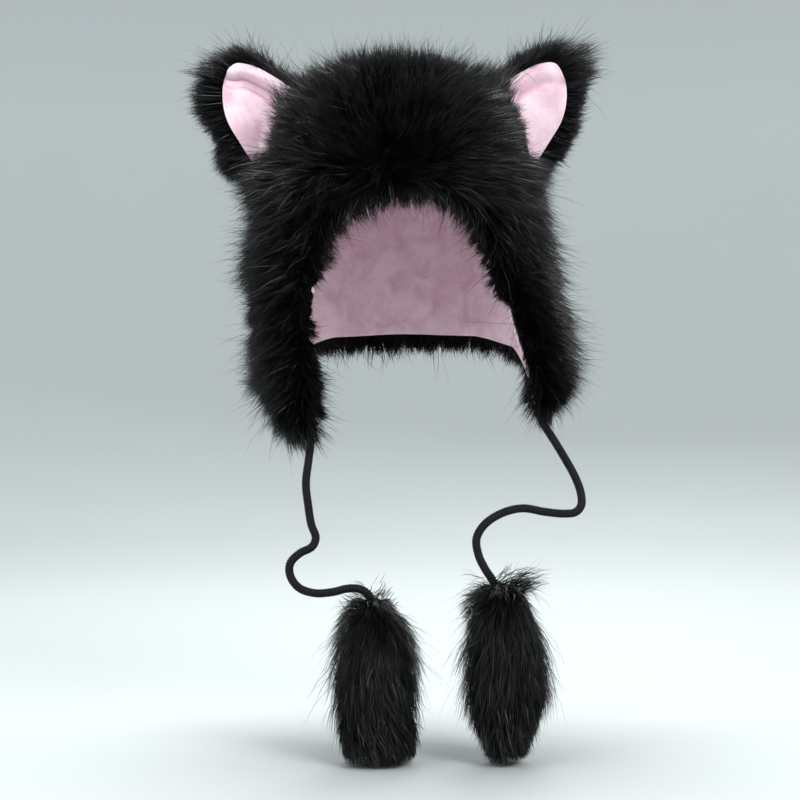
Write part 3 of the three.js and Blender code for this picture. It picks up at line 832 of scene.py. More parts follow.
@dataclass(frozen=True)
class BraidFinish:
    """The look of a braided black cord.

    Attributes:
        name: The material's name.
        dark: Colour of the painted shade between the threads, and of the darker worn places.
        light: Colour of the threads.
        fibres: Fine fibres a metre.
        wear: Worn places a metre.
    """

    name: str = "black_braid"
    dark: Colour = (0.0004, 0.0004, 0.0005)
    light: Colour = (0.0105, 0.0108, 0.0118)
    fibres: float = 2600.0
    wear: float = 90.0

    def build(self) -> Material:
        """Build the material.

        Returns:
            The material.
        """
        material, sheet, shader = new_material(self.name)
        place = sheet.place()
        fibres = sheet.noise(place, self.fibres, 2.0)
        wear_and_groove_shade = sheet.sum("ADD", fibres, sheet.noise(place, self.wear, 2.0))
        # Painted shade: the colour darkens towards the grooves between the threads
        wear_and_groove_shade = sheet.sum("MULTIPLY", wear_and_groove_shade, sheet.stored_fac(THREAD_HEIGHT))
        sheet.fill(
            shader,
            Base_Color=sheet.ramp(wear_and_groove_shade, ((0.45, self.dark), (1.05, self.light))),
            Normal=sheet.bump(fibres, strength=0.4, distance=0.0004),
            Roughness=0.65,
            Specular_IOR_Level=0.16,
        )
        return material


@dataclass(frozen=True)
class PaperFinish:
    """The look of the pale paper sweep under and round the hat.

    Attributes:
        name: The material's name.
        shade: Colour of the floor, darker as painted shade against the lamps' spill.
        light: Colour of the upright part.
        rise: How fast the colour changes with height.
        foot: How far it has changed at the frame's zero.
    """

    name: str = "pale_paper"
    shade: Colour = (0.375, 0.402, 0.400)
    light: Colour = (0.515, 0.550, 0.542)
    rise: float = 0.6
    foot: float = 0.4

    def build(self) -> Material:
        """Build the material.

        Returns:
            The material.
        """
        material, sheet, shader = new_material(self.name)
        place = sheet.place()
        grain = sheet.sum("MULTIPLY", sheet.noise(place, 3.0, 5.0), 0.1)
        height = sheet.add("ShaderNodeSeparateXYZ", Vector=place).outputs["Z"]
        # Painted shade: the floor is kept darker than the upright part, against the lamps' spill
        level = sheet.sum("ADD", sheet.sum("MULTIPLY_ADD", height, self.rise, self.foot), grain)
        sheet.fill(
            shader,
            Base_Color=sheet.ramp(level, ((0.15, self.shade), (0.75, self.light))),
            Roughness=0.85,
            Specular_IOR_Level=0.2,
        )
        return material


def ring_faces(rings: int, steps: int) -> Faces:
    """List the faces from a first point over rings of points.

    Args:
        rings: How many rings.
        steps: How many points a ring has.

    Returns:
        Each face's point numbers.
    """
    pairs = [(step, (step + 1) % steps) for step in range(steps)]
    faces = [(0, 1 + far, 1 + near) for near, far in pairs]
    for base in range(1, 1 + (rings - 1) * steps, steps):
        faces += [(base + n, base + f, base + steps + f, base + steps + n) for n, f in pairs]
    return faces


def smooth_mesh(name: str, points: Floats, faces: Faces, material: Material) -> Mesh:
    """Make a mesh that is shaded smooth.

    Args:
        name: Its name.
        points: Its points, in metres.
        faces: Its faces.
        material: Its material.

    Returns:
        The mesh.
    """
    mesh = bpy.data.meshes.new(name)
    mesh.from_pydata(points.tolist(), [], faces)
    mesh.polygons.foreach_set("use_smooth", [True] * len(mesh.polygons))
    mesh.update()
    mesh.materials.append(material)
    return mesh


def loft_mesh(name: str, material: Material, start: Floats, rings: list[Floats], end: Floats) -> Mesh:
    """Skin rings of points into a closed body, pointed at both ends, its faces outwards.

    Args:
        name: The mesh's name.
        material: Its material.
        start: The point before the first ring, in millimetres.
        rings: The rings' points, in millimetres.
        end: The point after the last ring.

    Returns:
        The mesh, in metres.
    """
    steps = len(rings[0])
    points = np.vstack([start, *rings, end]) * METRES
    last = len(points) - 1
    base = last - steps
    faces = ring_faces(len(rings), steps)
    faces += [(last, base + step, base + (step + 1) % steps) for step in range(steps)]
    if volume_of(points - points.mean(axis=0), faces) < 0:
        faces = [face[::-1] for face in faces]
    return smooth_mesh(name, points, faces, material)


def volume_of(points: Floats, faces: Faces) -> float:
    """Measure six times the signed volume that faces enclose.

    Args:
        points: The points.
        faces: The faces.

    Returns:
        The volume, below 0 where the faces look inwards.
    """
    fans = [(face[0], face[i], face[i + 1]) for face in faces for i in range(1, len(face) - 1)]
    a, b, c = points[np.array(fans)].transpose(1, 0, 2)
    return float(np.einsum("ij,ij->", a, np.cross(b, c)))


def add_object(name: str, data: bpy.types.ID) -> Piece:
    """Put data into the scene as an object, and give it."""
    item = bpy.data.objects.new(name, data)
    bpy.context.scene.collection.objects.link(item)
    return item


def place_piece(name: str, mesh: Mesh, slot: str, *nodes: str) -> Piece:
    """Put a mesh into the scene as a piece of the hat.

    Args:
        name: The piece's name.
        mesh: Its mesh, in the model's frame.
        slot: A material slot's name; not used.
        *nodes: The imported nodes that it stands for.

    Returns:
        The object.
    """
    piece = add_object(name, mesh)
    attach(piece, BODY)
    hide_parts(*nodes)
    LOG.info("%s: %d faces", name, len(mesh.polygons))
    return piece


def grown_mesh(name: str, source: bpy.types.ID, tree: Tree, inputs: dict[str, object]) -> Mesh:
    """Run a Geometry Nodes tree on points or a line, and take the plain mesh that it makes.

    Args:
        name: The new mesh's name.
        source: What the tree starts from.
        tree: The node tree.
        inputs: Values by the name of the tree's input.

    Returns:
        The mesh.
    """
    carrier = add_object(source.name, source)
    modifier = carrier.modifiers.new("maker", "NODES")
    modifier.node_group = tree
    for item in tree.interface.items_tree:
        if item.name in inputs:
            modifier[item.identifier] = inputs[item.name]
    graph = bpy.context.evaluated_depsgraph_get()
    mesh = bpy.data.meshes.new_from_object(carrier.evaluated_get(graph))
    mesh.name = name
    bpy.data.objects.remove(carrier)
    if isinstance(source, Mesh):
        bpy.data.meshes.remove(source)
    return mesh


@dataclass
class Follicles:
    """Where strands grow and how they lie, one a row.

    Attributes:
        root: Places.
        outward: Directions straight off the skin.
        lay: Directions along the skin in which they are combed.
        stand: Degrees between strand and skin.
        length: Millimetres.
        tone: From 0, darkest, to 1; on the hat and the ears it also carries painted light and shade.
    """

    root: Floats
    outward: Floats
    lay: Floats
    stand: Floats
    length: Floats
    tone: Floats

    @classmethod
    def aimed(
        cls, root: Floats, outward: Floats, heading: Floats, length: Floats, tone: Floats
    ) -> Follicles:
        """Plant strands by the direction in which they grow on the whole.

        Args:
            root: Places.
            outward: Directions straight off the skin.
            heading: Directions of the strands.
            length: Millimetres.
            tone: From 0 to 1.

        Returns:
            The follicles.
        """
        heading = unit(heading)
        rise = np.clip(np.sum(heading * outward, axis=1), -1.0, 1.0)
        return cls(root, outward, heading, np.degrees(np.arcsin(rise)), length, tone)

    def tips(self) -> Floats:
        """Find where the strands end if they are straight."""
        lay = unit(across(self.lay, self.outward) + TINY)
        return self.root + turned(lay, self.outward, self.stand) * self.length[:, None]

    def pick(self, keep: Floats) -> Follicles:
        """Keep some of the rows."""
        return Follicles(*(column[keep] for column in vars(self).values()))

    @classmethod
    def joined(cls, parts: list[Follicles]) -> Follicles:
        """Join several sets into one."""
        return cls(*(np.concatenate(columns) for columns in zip(*(vars(part).values() for part in parts))))


@dataclass(frozen=True)
class Outline:
    """An edge seen from the front, which hairs are trimmed to.

    Attributes:
        corners: Places across and up where the lines of sight meet the plane y = 0.
        growth: How many times its length a hair may grow to reach the edge.
        tufting: How much the locks differ in length there.
        lock: Millimetres from one lock to the next.
        shortest: Length that is left of any hair.
        longest: Length of the longest hair.
    """

    corners: tuple[tuple[float, float], ...]
    growth: float = 2.2
    tufting: float = 0.2
    lock: float = 8.0
    shortest: float = 4.0
    longest: float = 52.0

    CHUNK = 20000

    @staticmethod
    def seen(points: Floats) -> Floats:
        """Find where the lines of sight to points meet the plane y = 0."""
        share = VIEWPOINT[1] / (VIEWPOINT[1] - points[:, 1:2])
        return (VIEWPOINT + (points - VIEWPOINT) * share)[:, [0, 2]]

    def crossing(self, roots: Floats, tips: Floats) -> tuple[Floats, Floats]:
        """Find where straight hairs cross the outline.

        Args:
            roots: Where the hairs start.
            tips: Where they end.

        Returns:
            The share of its length at which each first crosses, and whether it starts inside.
        """
        start = np.array(self.corners)
        side = np.roll(start, -1, axis=0) - start
        first, inside = [], []
        for begin in range(0, len(roots), self.CHUNK):
            root = self.seen(roots[begin:begin + self.CHUNK])[:, None]
            way = self.seen(tips[begin:begin + self.CHUNK])[:, None] - root
            slant = wedge(way, side)
            slant = np.where(np.abs(slant) < 1e-9, 1e-9, slant)
            share = wedge(start - root, side) / slant
            place = wedge(start - root, way) / slant
            met = (place >= 0.0) & (place < 1.0) & (share > 0.0)
            first.append(np.where(met, share, np.inf).min(axis=1))
            inside.append(met.sum(axis=1) % 2 == 1)
        return np.concatenate(first), np.concatenate(inside)

    def groom(self, planted: Follicles, free: Floats, seed: int) -> Follicles:
        """Trim hairs to the outline, and let free ones grow out to it.

        Args:
            planted: The hairs.
            free: Which of them may grow, besides those on the outline.
            seed: Fixes what is random.

        Returns:
            The same hairs with new lengths.
        """
        random = np.random.default_rng(seed)
        leave, inside = self.crossing(planted.root, planted.tips())
        sight = unit(planted.root - VIEWPOINT)
        free = free | (np.abs(np.sum(planted.outward * sight, axis=1)) < 0.5)
        share = np.where((leave < 1.0) | (free & (leave < self.growth)), leave, 1.0)
        ragged = 1.15 + Waves(15, self.lock).read(planted.root) * self.tufting
        ragged = ragged + random.uniform(-0.28, 0.16, len(leave))
        share = np.where(inside & (leave < self.growth), share * ragged, 1.0)
        length = np.clip(planted.length * share, self.shortest, self.longest)
        return replace(planted, length=length)

    def keep_clear(self, planted: Follicles, behind: float, seed: int) -> Follicles:
        """Stop hairs short of the outline, and leave out those that grow within it.

        Args:
            planted: The hairs.
            behind: How far back hairs may grow and still hide what is within.
            seed: Fixes what is random.

        Returns:
            The hairs that are left.
        """
        random = np.random.default_rng(seed)
        meet, inside = self.crossing(planted.root, planted.tips())
        ahead = planted.root[:, 1] < behind
        meet = meet + random.uniform(-1.5, 3.5, len(meet)) / planted.length
        share = np.where(ahead & ~inside & (meet < 1.0), meet, 1.0)
        length = np.maximum(planted.length * share, self.shortest * 0.5)
        return replace(planted, length=length).pick(~(ahead & inside))


@dataclass(frozen=True)
class Clumping:
    """How strands draw together into locks.

    Attributes:
        spacing: Millimetres between two locks.
        least: Smallest share by which a tip is drawn to its lock's.
        most: Largest share.
    """

    spacing: float
    least: float
    most: float


@dataclass(frozen=True)
class StrandKind:
    """A kind of strand.

    Attributes:
        width: Millimetres at the root.
        stretch: Its length as a share of the pile's.
        loose: How much freer it turns than a common strand.
        drawn: How much of its lock's pull it follows.
        tone: How much lighter than the pile.
    """

    width: float
    stretch: float
    loose: float
    drawn: float
    tone: float


@dataclass
class StrandMaker:
    """Turns follicles into strands, each a ribbon that tapers to a point.

    Attributes:
        finish: The strands' material.
        guard: The long strands.
        under: The short dense strands.
        wild: Long strands that stand apart.
        under_share: Share of the strands that are short.
        wild_share: Share that stand apart.
        taper: Share of the width that is gone towards the tip.
        curl: Degrees by which a strand stands steeper at its root than on the whole.
        stray: Degrees by which single strands turn away.
        wave: Sideways bend as a share of the length.
        roll: Most degrees by which a ribbon is turned out of the skin's plane.
        mottle: How much single strands differ in tone.
        clumps: From the finest locks to the largest.
        limits: Corners of the box that no strand leaves.
    """

    finish: Material
    guard: StrandKind = StrandKind(0.42, 1.0, 1.0, 1.0, 0.0)
    under: StrandKind = StrandKind(0.62, 0.72, 1.2, 0.7, -0.12)
    wild: StrandKind = StrandKind(0.27, 1.26, 2.4, 0.15, 0.3)
    under_share: float = 0.46
    wild_share: float = 0.08
    taper: float = 0.6
    curl: float = 18.0
    stray: float = 11.0
    wave: float = 0.13
    roll: float = 60.0
    mottle: float = 0.13
    clumps: tuple[Clumping, ...] = (
        Clumping(3.2, 0.1, 0.6),
        Clumping(11.0, 0.1, 0.6),
        Clumping(24.0, 0.05, 0.4),
    )
    limits: tuple[tuple[float, ...], ...] = ((-190.0, -161.5, -530.0), (176.5, 157.0, 78.0))
    tree: Tree = field(init=False)

    GUARD_ROWS = 4
    UNDER_ROWS = 3
    SPENT = tuple(f"strand_{name}" for name in ("across", "along", "way", "bend", "side", "tone", "short"))

    def __post_init__(self) -> None:
        """Build the node tree that all the pelts share."""
        self.tree = self.strand_tree()

    def strand_tree(self) -> Tree:
        """Build the tree that puts a ribbon at each follicle and bends it.

        Returns:
            The tree.
        """
        tree, sheet = new_tree("fur strands", "Pelt", {
            "Follicles": "Geometry",
            "Guard Rows": "Int",
            "Under Rows": "Int",
            "Tip Taper": "Float",
            "Tone Width": "Float",
            "Finish": "Material",
        })
        given = sheet.add("NodeGroupInput").outputs
        short = sheet.named("strand_short")
        joined = sheet.add("GeometryNodeJoinGeometry")
        for rows, test in (("Guard Rows", "LESS_THAN"), ("Under Rows", "GREATER_THAN")):
            placed = sheet.make(
                "GeometryNodeInstanceOnPoints",
                Points=given["Follicles"],
                Selection=sheet.sum(test, short, 0.5),
                Instance=self.ribbon(sheet, given[rows]),
                Scale=(0, 0, 0),
            )
            sheet.fill(joined, Geometry=placed)
        real = sheet.make("GeometryNodeRealizeInstances", Geometry=joined.outputs[0])

        along, aside = sheet.named("strand_along"), sheet.named("strand_across")
        square = sheet.sum("MULTIPLY", along, along)
        thinned = sheet.sum("SUBTRACT", 1.0, sheet.sum("MULTIPLY", square, given["Tip Taper"]))
        shares = (("way", along), ("bend", square), ("side", sheet.sum("MULTIPLY", aside, thinned)))
        way, bend, side = (
            sheet.scaled(sheet.named(f"strand_{name}", "FLOAT_VECTOR"), share) for name, share in shares
        )
        offset = sheet.added(sheet.added(way, bend), side)
        moved = sheet.make("GeometryNodeSetPosition", Geometry=real, Offset=offset)

        wide = sheet.sum("MULTIPLY", sheet.sum("ADD", aside, 0.5), given["Tone Width"])
        mapped = sheet.make(
            "GeometryNodeStoreNamedAttribute",
            {"data_type": "FLOAT2", "domain": "CORNER"},
            Geometry=moved,
            Name=BAKE_LAYER,
            Value=sheet.make(
                "ShaderNodeCombineXYZ",
                X=sheet.sum("ADD", sheet.named("strand_tone"), wide),
                Y=sheet.sum("MULTIPLY_ADD", along, 0.96, 0.02),
            ),
        )
        sheet.add("NodeGroupOutput", Pelt=sheet.finish(mapped, self.SPENT, given["Finish"]))
        return tree

    @staticmethod
    def ribbon(sheet: NodeSheet, rows: Socket) -> Socket:
        """Add the nodes of a flat ribbon that ends in a point.

        Args:
            sheet: Where the nodes go.
            rows: How many points long it is.

        Returns:
            Its geometry, with its places across and along stored.
        """
        grid = sheet.make("GeometryNodeMeshGrid", Vertices_X=2, Vertices_Y=rows)
        place = sheet.add("ShaderNodeSeparateXYZ", Vector=sheet.make("GeometryNodeInputPosition")).outputs
        along = sheet.sum("ADD", place["Y"], 0.5)
        pinched = sheet.make(
            "GeometryNodeSetPosition",
            Geometry=grid,
            Selection=sheet.sum("GREATER_THAN", along, 0.999),
            Offset=sheet.make("ShaderNodeCombineXYZ", X=sheet.sum("MULTIPLY", place["X"], -1.0)),
        )
        pointed = sheet.make("GeometryNodeMergeByDistance", Geometry=pinched, Distance=0.001)
        return sheet.store(sheet.store(pointed, "strand_across", place["X"]), "strand_along", along)

    def shape(self, follicles: Follicles, seed: int, drop: float) -> dict[str, Floats]:
        """Bend the strands and draw them into locks.

        Args:
            follicles: Where they grow.
            seed: Fixes what is random.
            drop: Share of its length by which a tip sinks.

        Returns:
            Each strand's way, bend, side, tone and whether it is short, by name.
        """
        random = np.random.default_rng(seed)
        count = len(follicles.root)
        short = random.random(count) < self.under_share
        wild = ~short & (random.random(count) < self.wild_share / (1.0 - self.under_share))
        kinds = np.array([astuple(kind) for kind in (self.guard, self.under, self.wild)])
        width, stretch, loose, drawn, lighter = kinds[np.where(wild, 2, np.where(short, 1, 0))].T

        lay = unit(across(follicles.lay, follicles.outward) + TINY)
        aside = np.cross(follicles.outward, lay)
        lay = turned(lay, aside, random.normal(0.0, self.stray, count) * loose)
        stand = follicles.stand + random.normal(0.0, self.stray, count) * loose
        first = turned(lay, follicles.outward, np.clip(stand + self.curl, -30.0, 100.0))
        last = turned(lay, follicles.outward, np.clip(stand - self.curl, -45.0, 95.0))
        length = (follicles.length * stretch)[:, None]
        way = first * length
        bend = (last - first) * length * 0.5
        bend = bend + aside * length * random.normal(0.0, self.wave, count)[:, None]
        bend = bend - UP * drop * length
        for clump in self.clumps:
            middles = self.lock_middles(follicles.root + (way + bend) * 0.5, clump.spacing, random)
            tips = follicles.root + way + bend
            pull = random.uniform(clump.least, clump.most, count) * drawn
            bend = bend + (tips[middles] - tips) * pull[:, None]
        kept = self.share_within(follicles.root, way + bend)
        way, bend = way * kept, bend * kept
        heading = unit(way + bend)
        facing = unit(across(follicles.outward, heading) + TINY)
        side = turned(np.cross(heading, facing), facing, random.uniform(-self.roll, self.roll, count))
        width = width * random.uniform(0.75, 1.25, count)
        tones = StrandFinish.TONES
        blurred = follicles.tone + lighter + random.normal(0.0, self.mottle, count)
        return {
            "way": way * METRES,
            "bend": bend * METRES,
            "side": side * width[:, None] * METRES,
            "tone": np.clip(np.floor(blurred * tones), 0, tones - 1) / tones,
            "short": short.astype(float),
        }

    def share_within(self, roots: Floats, ways: Floats) -> Floats:
        """Find how much of each strand stays within the limits.

        Args:
            roots: Where the strands start.
            ways: From there to their tips.

        Returns:
            A share for each strand, one a row.
        """
        low, high = np.array(self.limits, dtype=float)
        room = np.where(ways > 0.0, high - roots, roots - low)
        share = room / np.maximum(np.abs(ways), TINY)
        return np.clip(share.min(axis=1, keepdims=True), 0.0, 1.0)

    @staticmethod
    def lock_middles(roots: Floats, spacing: float, random: Chance) -> Floats:
        """Choose the strand that each strand is drawn to.

        Args:
            roots: Where the middles of the strands are.
            spacing: Millimetres between two locks.
            random: The source of chance.

        Returns:
            A row number for each strand.
        """
        cells = np.floor((roots + random.uniform(0, spacing, 3)) / spacing).astype(np.int64)
        # Three large primes give each cell its own key
        keys = cells[:, 0] * 73856093 ^ cells[:, 1] * 19349663 ^ cells[:, 2] * 83492791
        order = random.permutation(len(roots))
        _, first = np.unique(keys[order], return_index=True)
        chosen = order[first]
        finder = kdtree.KDTree(len(chosen))
        for row in chosen:
            finder.insert(roots[row], int(row))
        finder.balance()
        return np.array([finder.find(root)[1] for root in roots])

    def grow(self, name: str, follicles: Follicles, seed: int, drop: float = 0.0) -> Mesh:
        """Make the strands' mesh.

        Args:
            name: The mesh's name.
            follicles: Where they grow.
            seed: Fixes what is random.
            drop: Share of its length by which a tip sinks.

        Returns:
            The mesh.
        """
        points = bpy.data.meshes.new(name)
        points.from_pydata((follicles.root * METRES).tolist(), [], [])
        for key, values in self.shape(follicles, seed, drop).items():
            kind, field_name = ("FLOAT_VECTOR", "vector") if values.ndim == 2 else ("FLOAT", "value")
            layer = points.attributes.new(f"strand_{key}", kind, "POINT")
            layer.data.foreach_set(field_name, values.astype(np.float32).ravel())
        return grown_mesh(name, points, self.tree, {
            "Guard Rows": self.GUARD_ROWS,
            "Under Rows": self.UNDER_ROWS,
            "Tip Taper": self.taper,
            "Tone Width": 1.0 / StrandFinish.TONES,
            "Finish": self.finish,
        })


class Panel(Enum):
    """Panels of the hat's fur, and the node that each stands for."""

    CROWN = "crown_fur"
    BAND = "front_band_fur"
    LEFT_FLAP = "ear_flap_left_fur"
    RIGHT_FLAP = "ear_flap_right_fur"
    NECK = "neck_fur"


# How the fur is combed: place x, y, z; direction x, y, z; degrees that it stands off the hat; tone, which
# also paints light and shade: lighter where sheen falls on the crown's top and sides, darker on the shaded
# front
COMBING = (
    (0, -50, 33, 0.1, -0.3, 1.0, 72, 0.88),
    (-72, -40, 7, -0.5, 0.0, 0.85, 55, 0.4),
    (70, -40, 7, 0.5, 0.0, 0.85, 55, 0.64),
    (-100, -60, -27, -0.95, -0.1, 0.3, 50, 0.5),
    (-46, -125, -42, -0.35, 0.0, 0.9, 60, 0.06),
    (-66, -102, -42, -0.6, 0.0, 0.6, 55, -0.3),
    (0, -132, -42, 0.1, -0.2, 0.8, 62, 0.16),
    (34, -130, -42, 0.6, 0.0, 0.75, 52, 0.2),
    (71, -110, -46, 0.95, 0.0, 0.25, 42, 0.55),
    (-22, -132, -62, -0.5, -0.3, 0.6, 58, 0.25),
    (-14, -134, -78, 0.4, -0.3, -0.8, 52, 0.25),
    (14, -136, -62, 1.0, 0.0, 0.05, 50, 0.3),
    (48, -130, -68, 1.0, 0.0, -0.1, 34, 0.5),
    (76, -115, -77, 0.9, 0.0, -0.4, 34, 0.55),
    (104, -80, -85, 0.75, 0.0, -0.6, 38, 0.5),
    (-2, -138, -85, 0.85, 0.0, -0.35, 36, 0.35),
    (54, -128, -92, 0.75, 0.0, -0.65, 34, 0.4),
    (85, -105, -118, 0.6, 0.0, -0.8, 34, 0.45),
    (108, -75, -148, 0.65, 0.0, -0.75, 42, 0.4),
    (90, -95, -171, 0.3, -0.5, -0.6, 58, 0.2),
    (125, -40, -185, 0.9, 0.0, -0.4, 50, 0.4),
    (110, -75, -240, 0.45, 0.0, -0.9, 38, 0.35),
    (-46, -125, -90, -0.2, 0.0, -1.0, 46, 0.35),
    (-24, -136, -86, 0.1, 0.0, -1.0, 38, 0.35),
    (-78, -110, -90, -0.15, 0.0, -1.0, 50, 0.4),
    (-112, -60, -82, -0.85, 0.0, -0.3, 54, 0.6),
    (-125, -10, -60, -0.9, 0.0, 0.1, 50, 0.6),
    (-95, -80, -50, -0.8, 0.0, 0.35, 50, 0.4),
    (-78, -105, -118, -0.3, 0.0, -0.9, 50, 0.35),
    (-103, -75, -138, -0.75, 0.0, -0.6, 46, 0.5),
    (-121, -30, -141, -0.95, 0.0, 0.25, 58, 0.6),
    (-118, -35, -171, -0.95, 0.0, -0.1, 55, 0.6),
    (-86, -100, -180, -0.4, -0.2, -0.8, 55, 0.35),
    (-113, -60, -217, -0.85, 0.0, -0.3, 50, 0.62),
    (-87, -95, -233, -0.6, 0.0, -0.7, 42, 0.45),
    (-71, -105, -248, -0.25, 0.0, -0.95, 34, 0.4),
    (-62, -112, -172, 0.0, -0.2, -1.0, 38, 0.3),
    (0, 0, 42, 0.0, 0.3, 0.3, 78, 0.55),
    (0, 60, 25, 0.0, 1.0, 0.1, 60, 0.5),
    (0, 125, -40, 0.0, 0.2, -1.0, 50, 0.45),
    (0, 135, -100, 0.0, 0.0, -1.0, 42, 0.45),
    (0, 130, -180, 0.0, 0.0, -1.0, 36, 0.4),
    (-95, 95, -60, -0.4, 0.3, -0.8, 46, 0.5),
    (95, 95, -60, 0.4, 0.3, -0.8, 46, 0.5),
    (-110, 70, -150, -0.35, 0.1, -0.9, 42, 0.45),
    (110, 70, -150, 0.35, 0.1, -0.9, 42, 0.45),
    (125, 0, -60, 0.8, 0.0, -0.5, 50, 0.5),
    (128, 0, -140, 0.7, 0.0, -0.7, 46, 0.45),
    (-128, 0, -140, -0.7, 0.0, -0.7, 48, 0.45),
)


# Where the pile reaches further or less far: place x, y, z; how wide the place is; millimetres
REACH = (
    (100, -60, -50, 24, -10),
    (108, -40, -70, 24, -8),
    (-88, -68, -24, 22, 13),
    (-92, -55, 0, 12, 14),
)

# Heights between which the plush shows at the front edge of each flap, from the top down
PLUSH_SHOWS = {-1: (-176.0, -200.0), 1: (-162.0, -222.0)}


@dataclass
class HatFur:
    """The fur of the crown, the front band, the flaps and the nape.

    Attributes:
        wall: The hat's wall.
        strands: Makes the strands.
        underfur: Material between the strands.
        counts: Strands of each panel.
        skin: Offset of the underfur, at the lower edge and away from it.
        rounding: Millimetres from the edge in which it rises.
        lining: Offset of its inner face, just off the lining.
        sunk: How deep under the underfur the strands start.
        pile: Offsets reached by the shortest and by the longest strands.
        length_limits: Lengths of the shortest and of the longest strands.
        fringe_share: Share of a panel's strands that hang off its lower edge.
        fringe_depth: How far up from the edge these start.
        fringe_pile: Lengths of the shortest and of the longest of these.
        cover_share: Share that bend in over the lining's rim.
        cover_pile: Lengths of the shortest and of the longest of these.
        front_end: Turn up to which the plush can show at the flaps' front edges.
        sway: Degrees by which the combing wanders.
        back_share: How dense the back of the crown is against its front.
        back_start: Turn at which the back starts.
        seed: Fixes what is random.
    """

    wall: HatWall
    strands: StrandMaker
    underfur: Material
    counts: dict[Panel, int] = field(default_factory=lambda: {
        Panel.CROWN: 47000,
        Panel.BAND: 21000,
        Panel.LEFT_FLAP: 32000,
        Panel.RIGHT_FLAP: 32000,
        Panel.NECK: 17000,
    })
    skin: tuple[float, float] = (7.5, 19.0)
    rounding: float = 20.0
    lining: float = 3.0 + GAP
    sunk: float = 4.0
    pile: tuple[float, float] = (27.0, 44.0)
    length_limits: tuple[float, float] = (9.0, 54.0)
    fringe_share: float = 0.2
    fringe_depth: float = 15.0
    fringe_pile: tuple[float, float] = (17.0, 27.0)
    cover_share: float = 0.15
    cover_pile: tuple[float, float] = (12.0, 20.0)
    front_end: float = 53.0
    sway: float = 24.0
    back_share: float = 0.6
    back_start: float = 100.0
    seed: int = 11

    # Strands are scattered over cells: rows on the crown, height, turn, lowest depth and offset
    CROWN_CELLS = 30
    CELL = 3.0
    CELL_TURN = 2.0
    DEEPEST = 270.0
    AREA_OFFSET = 30.0
    COLUMNS = 128

    def build(self) -> None:
        """Build and dress the underfur and every panel's strands."""
        self.build_underfur()
        for number, panel in enumerate(Panel):
            follicles = self.plant(panel, self.seed + number)
            if panel is Panel.CROWN:
                front = follicles.root[:, 1] < 0
                for name, keep in (("crown_pelt_front", front), ("crown_pelt_back", ~front)):
                    self.add_pelt(name, follicles.pick(keep), panel, self.seed + number)
            else:
                name = panel.value.replace("_fur", "_pelt")
                self.add_pelt(name, follicles, panel, self.seed + number)

    def add_pelt(self, name: str, follicles: Follicles, panel: Panel, seed: int) -> None:
        """Make one object of strands."""
        place_piece(name, self.strands.grow(name, follicles, seed), BLACK_FUR_SLOT, panel.value)

    def build_underfur(self) -> None:
        """Build the closed shell of underfur."""
        _, edge = self.wall.columns(self.COLUMNS)
        foot = self.wall.crown_level(80.0)
        crown = self.wall.crown_level(np.linspace(6.0, 80.0, 11))
        depths = [np.full(self.COLUMNS, level) for level in crown]
        for share in np.linspace(0.0, 1.0, 16)[1:]:
            depths.append(lerp(foot, self.wall.edge_depth(edge), share))
        outer = [self.backing_ring(depth, 1.0) for depth in depths]
        hem = [
            self.wall.edge_point(edge, 6.5, 1.6),
            self.wall.edge_point(edge, 5.0, 2.2),
            self.wall.edge_point(edge, 3.8, 1.2),
        ]
        inner = [self.backing_ring(depth, 0.0) for depth in depths[::-1]]
        rings = [*outer, *hem, *inner]
        mesh = loft_mesh("fur_backing", self.underfur, UP * self.skin[1], rings, UP * self.lining)
        place_piece("fur_backing", mesh, BLACK_FUR_SLOT, *(panel.value for panel in Panel))

    def skin_offset(self, turn: Floats, depth: Floats) -> Floats:
        """Find the offset of the underfur at places of the wall."""
        return lerp(*self.skin, smooth(self.wall.edge_distance(turn, depth) / self.rounding))

    def backing_ring(self, depth: Floats, raised: float) -> Floats:
        """Find one ring of the underfur's shell.

        Args:
            depth: Depth of each column.
            raised: 1 on its outer face, 0 on its inner one.

        Returns:
            One place a column.
        """
        top, edge = self.wall.columns(self.COLUMNS)
        turn = lerp(top, edge, depth / self.wall.edge_depth(edge))
        offset = lerp(self.lining, self.skin_offset(turn, depth), raised)
        base = self.wall.point(turn, depth, offset)
        lift = Waves(21, 16.0).read(base) * 1.6 + Waves(22, 45.0).read(base) * 1.4
        lift = lift * raised * (offset - self.lining + GAP) / self.skin[1]
        return base + self.wall.normal(turn, depth) * lift[:, None]

    def depth_of(self, level: Floats) -> Floats:
        """Find the depth at levels that are counted in cells from the top."""
        crown = self.wall.crown_level(np.clip(level / self.CROWN_CELLS, 0.0, 1.0) * 90.0)
        return crown + np.maximum(0.0, level - self.CROWN_CELLS) * self.CELL

    def inside(self, panel: Panel, turn: Floats, depth: Floats) -> Floats:
        """Tell which places of the wall are in a panel.

        Args:
            panel: Which one.
            turn: Degrees from the front.
            depth: Millimetres under the inner top.

        Returns:
            True or False, one a row.
        """
        size = np.abs(turn)
        above = depth < self.wall.seam_depth
        beside = ~above & (size > self.wall.band_end) & (size < self.wall.neck_start)
        by_panel = {
            Panel.CROWN: above,
            Panel.BAND: ~above & (size < self.wall.band_end),
            Panel.LEFT_FLAP: beside & (turn < 0),
            Panel.RIGHT_FLAP: beside & (turn > 0),
            Panel.NECK: ~above & (size >= self.wall.neck_start),
        }
        return by_panel[panel] & (depth < self.wall.edge_depth(turn))

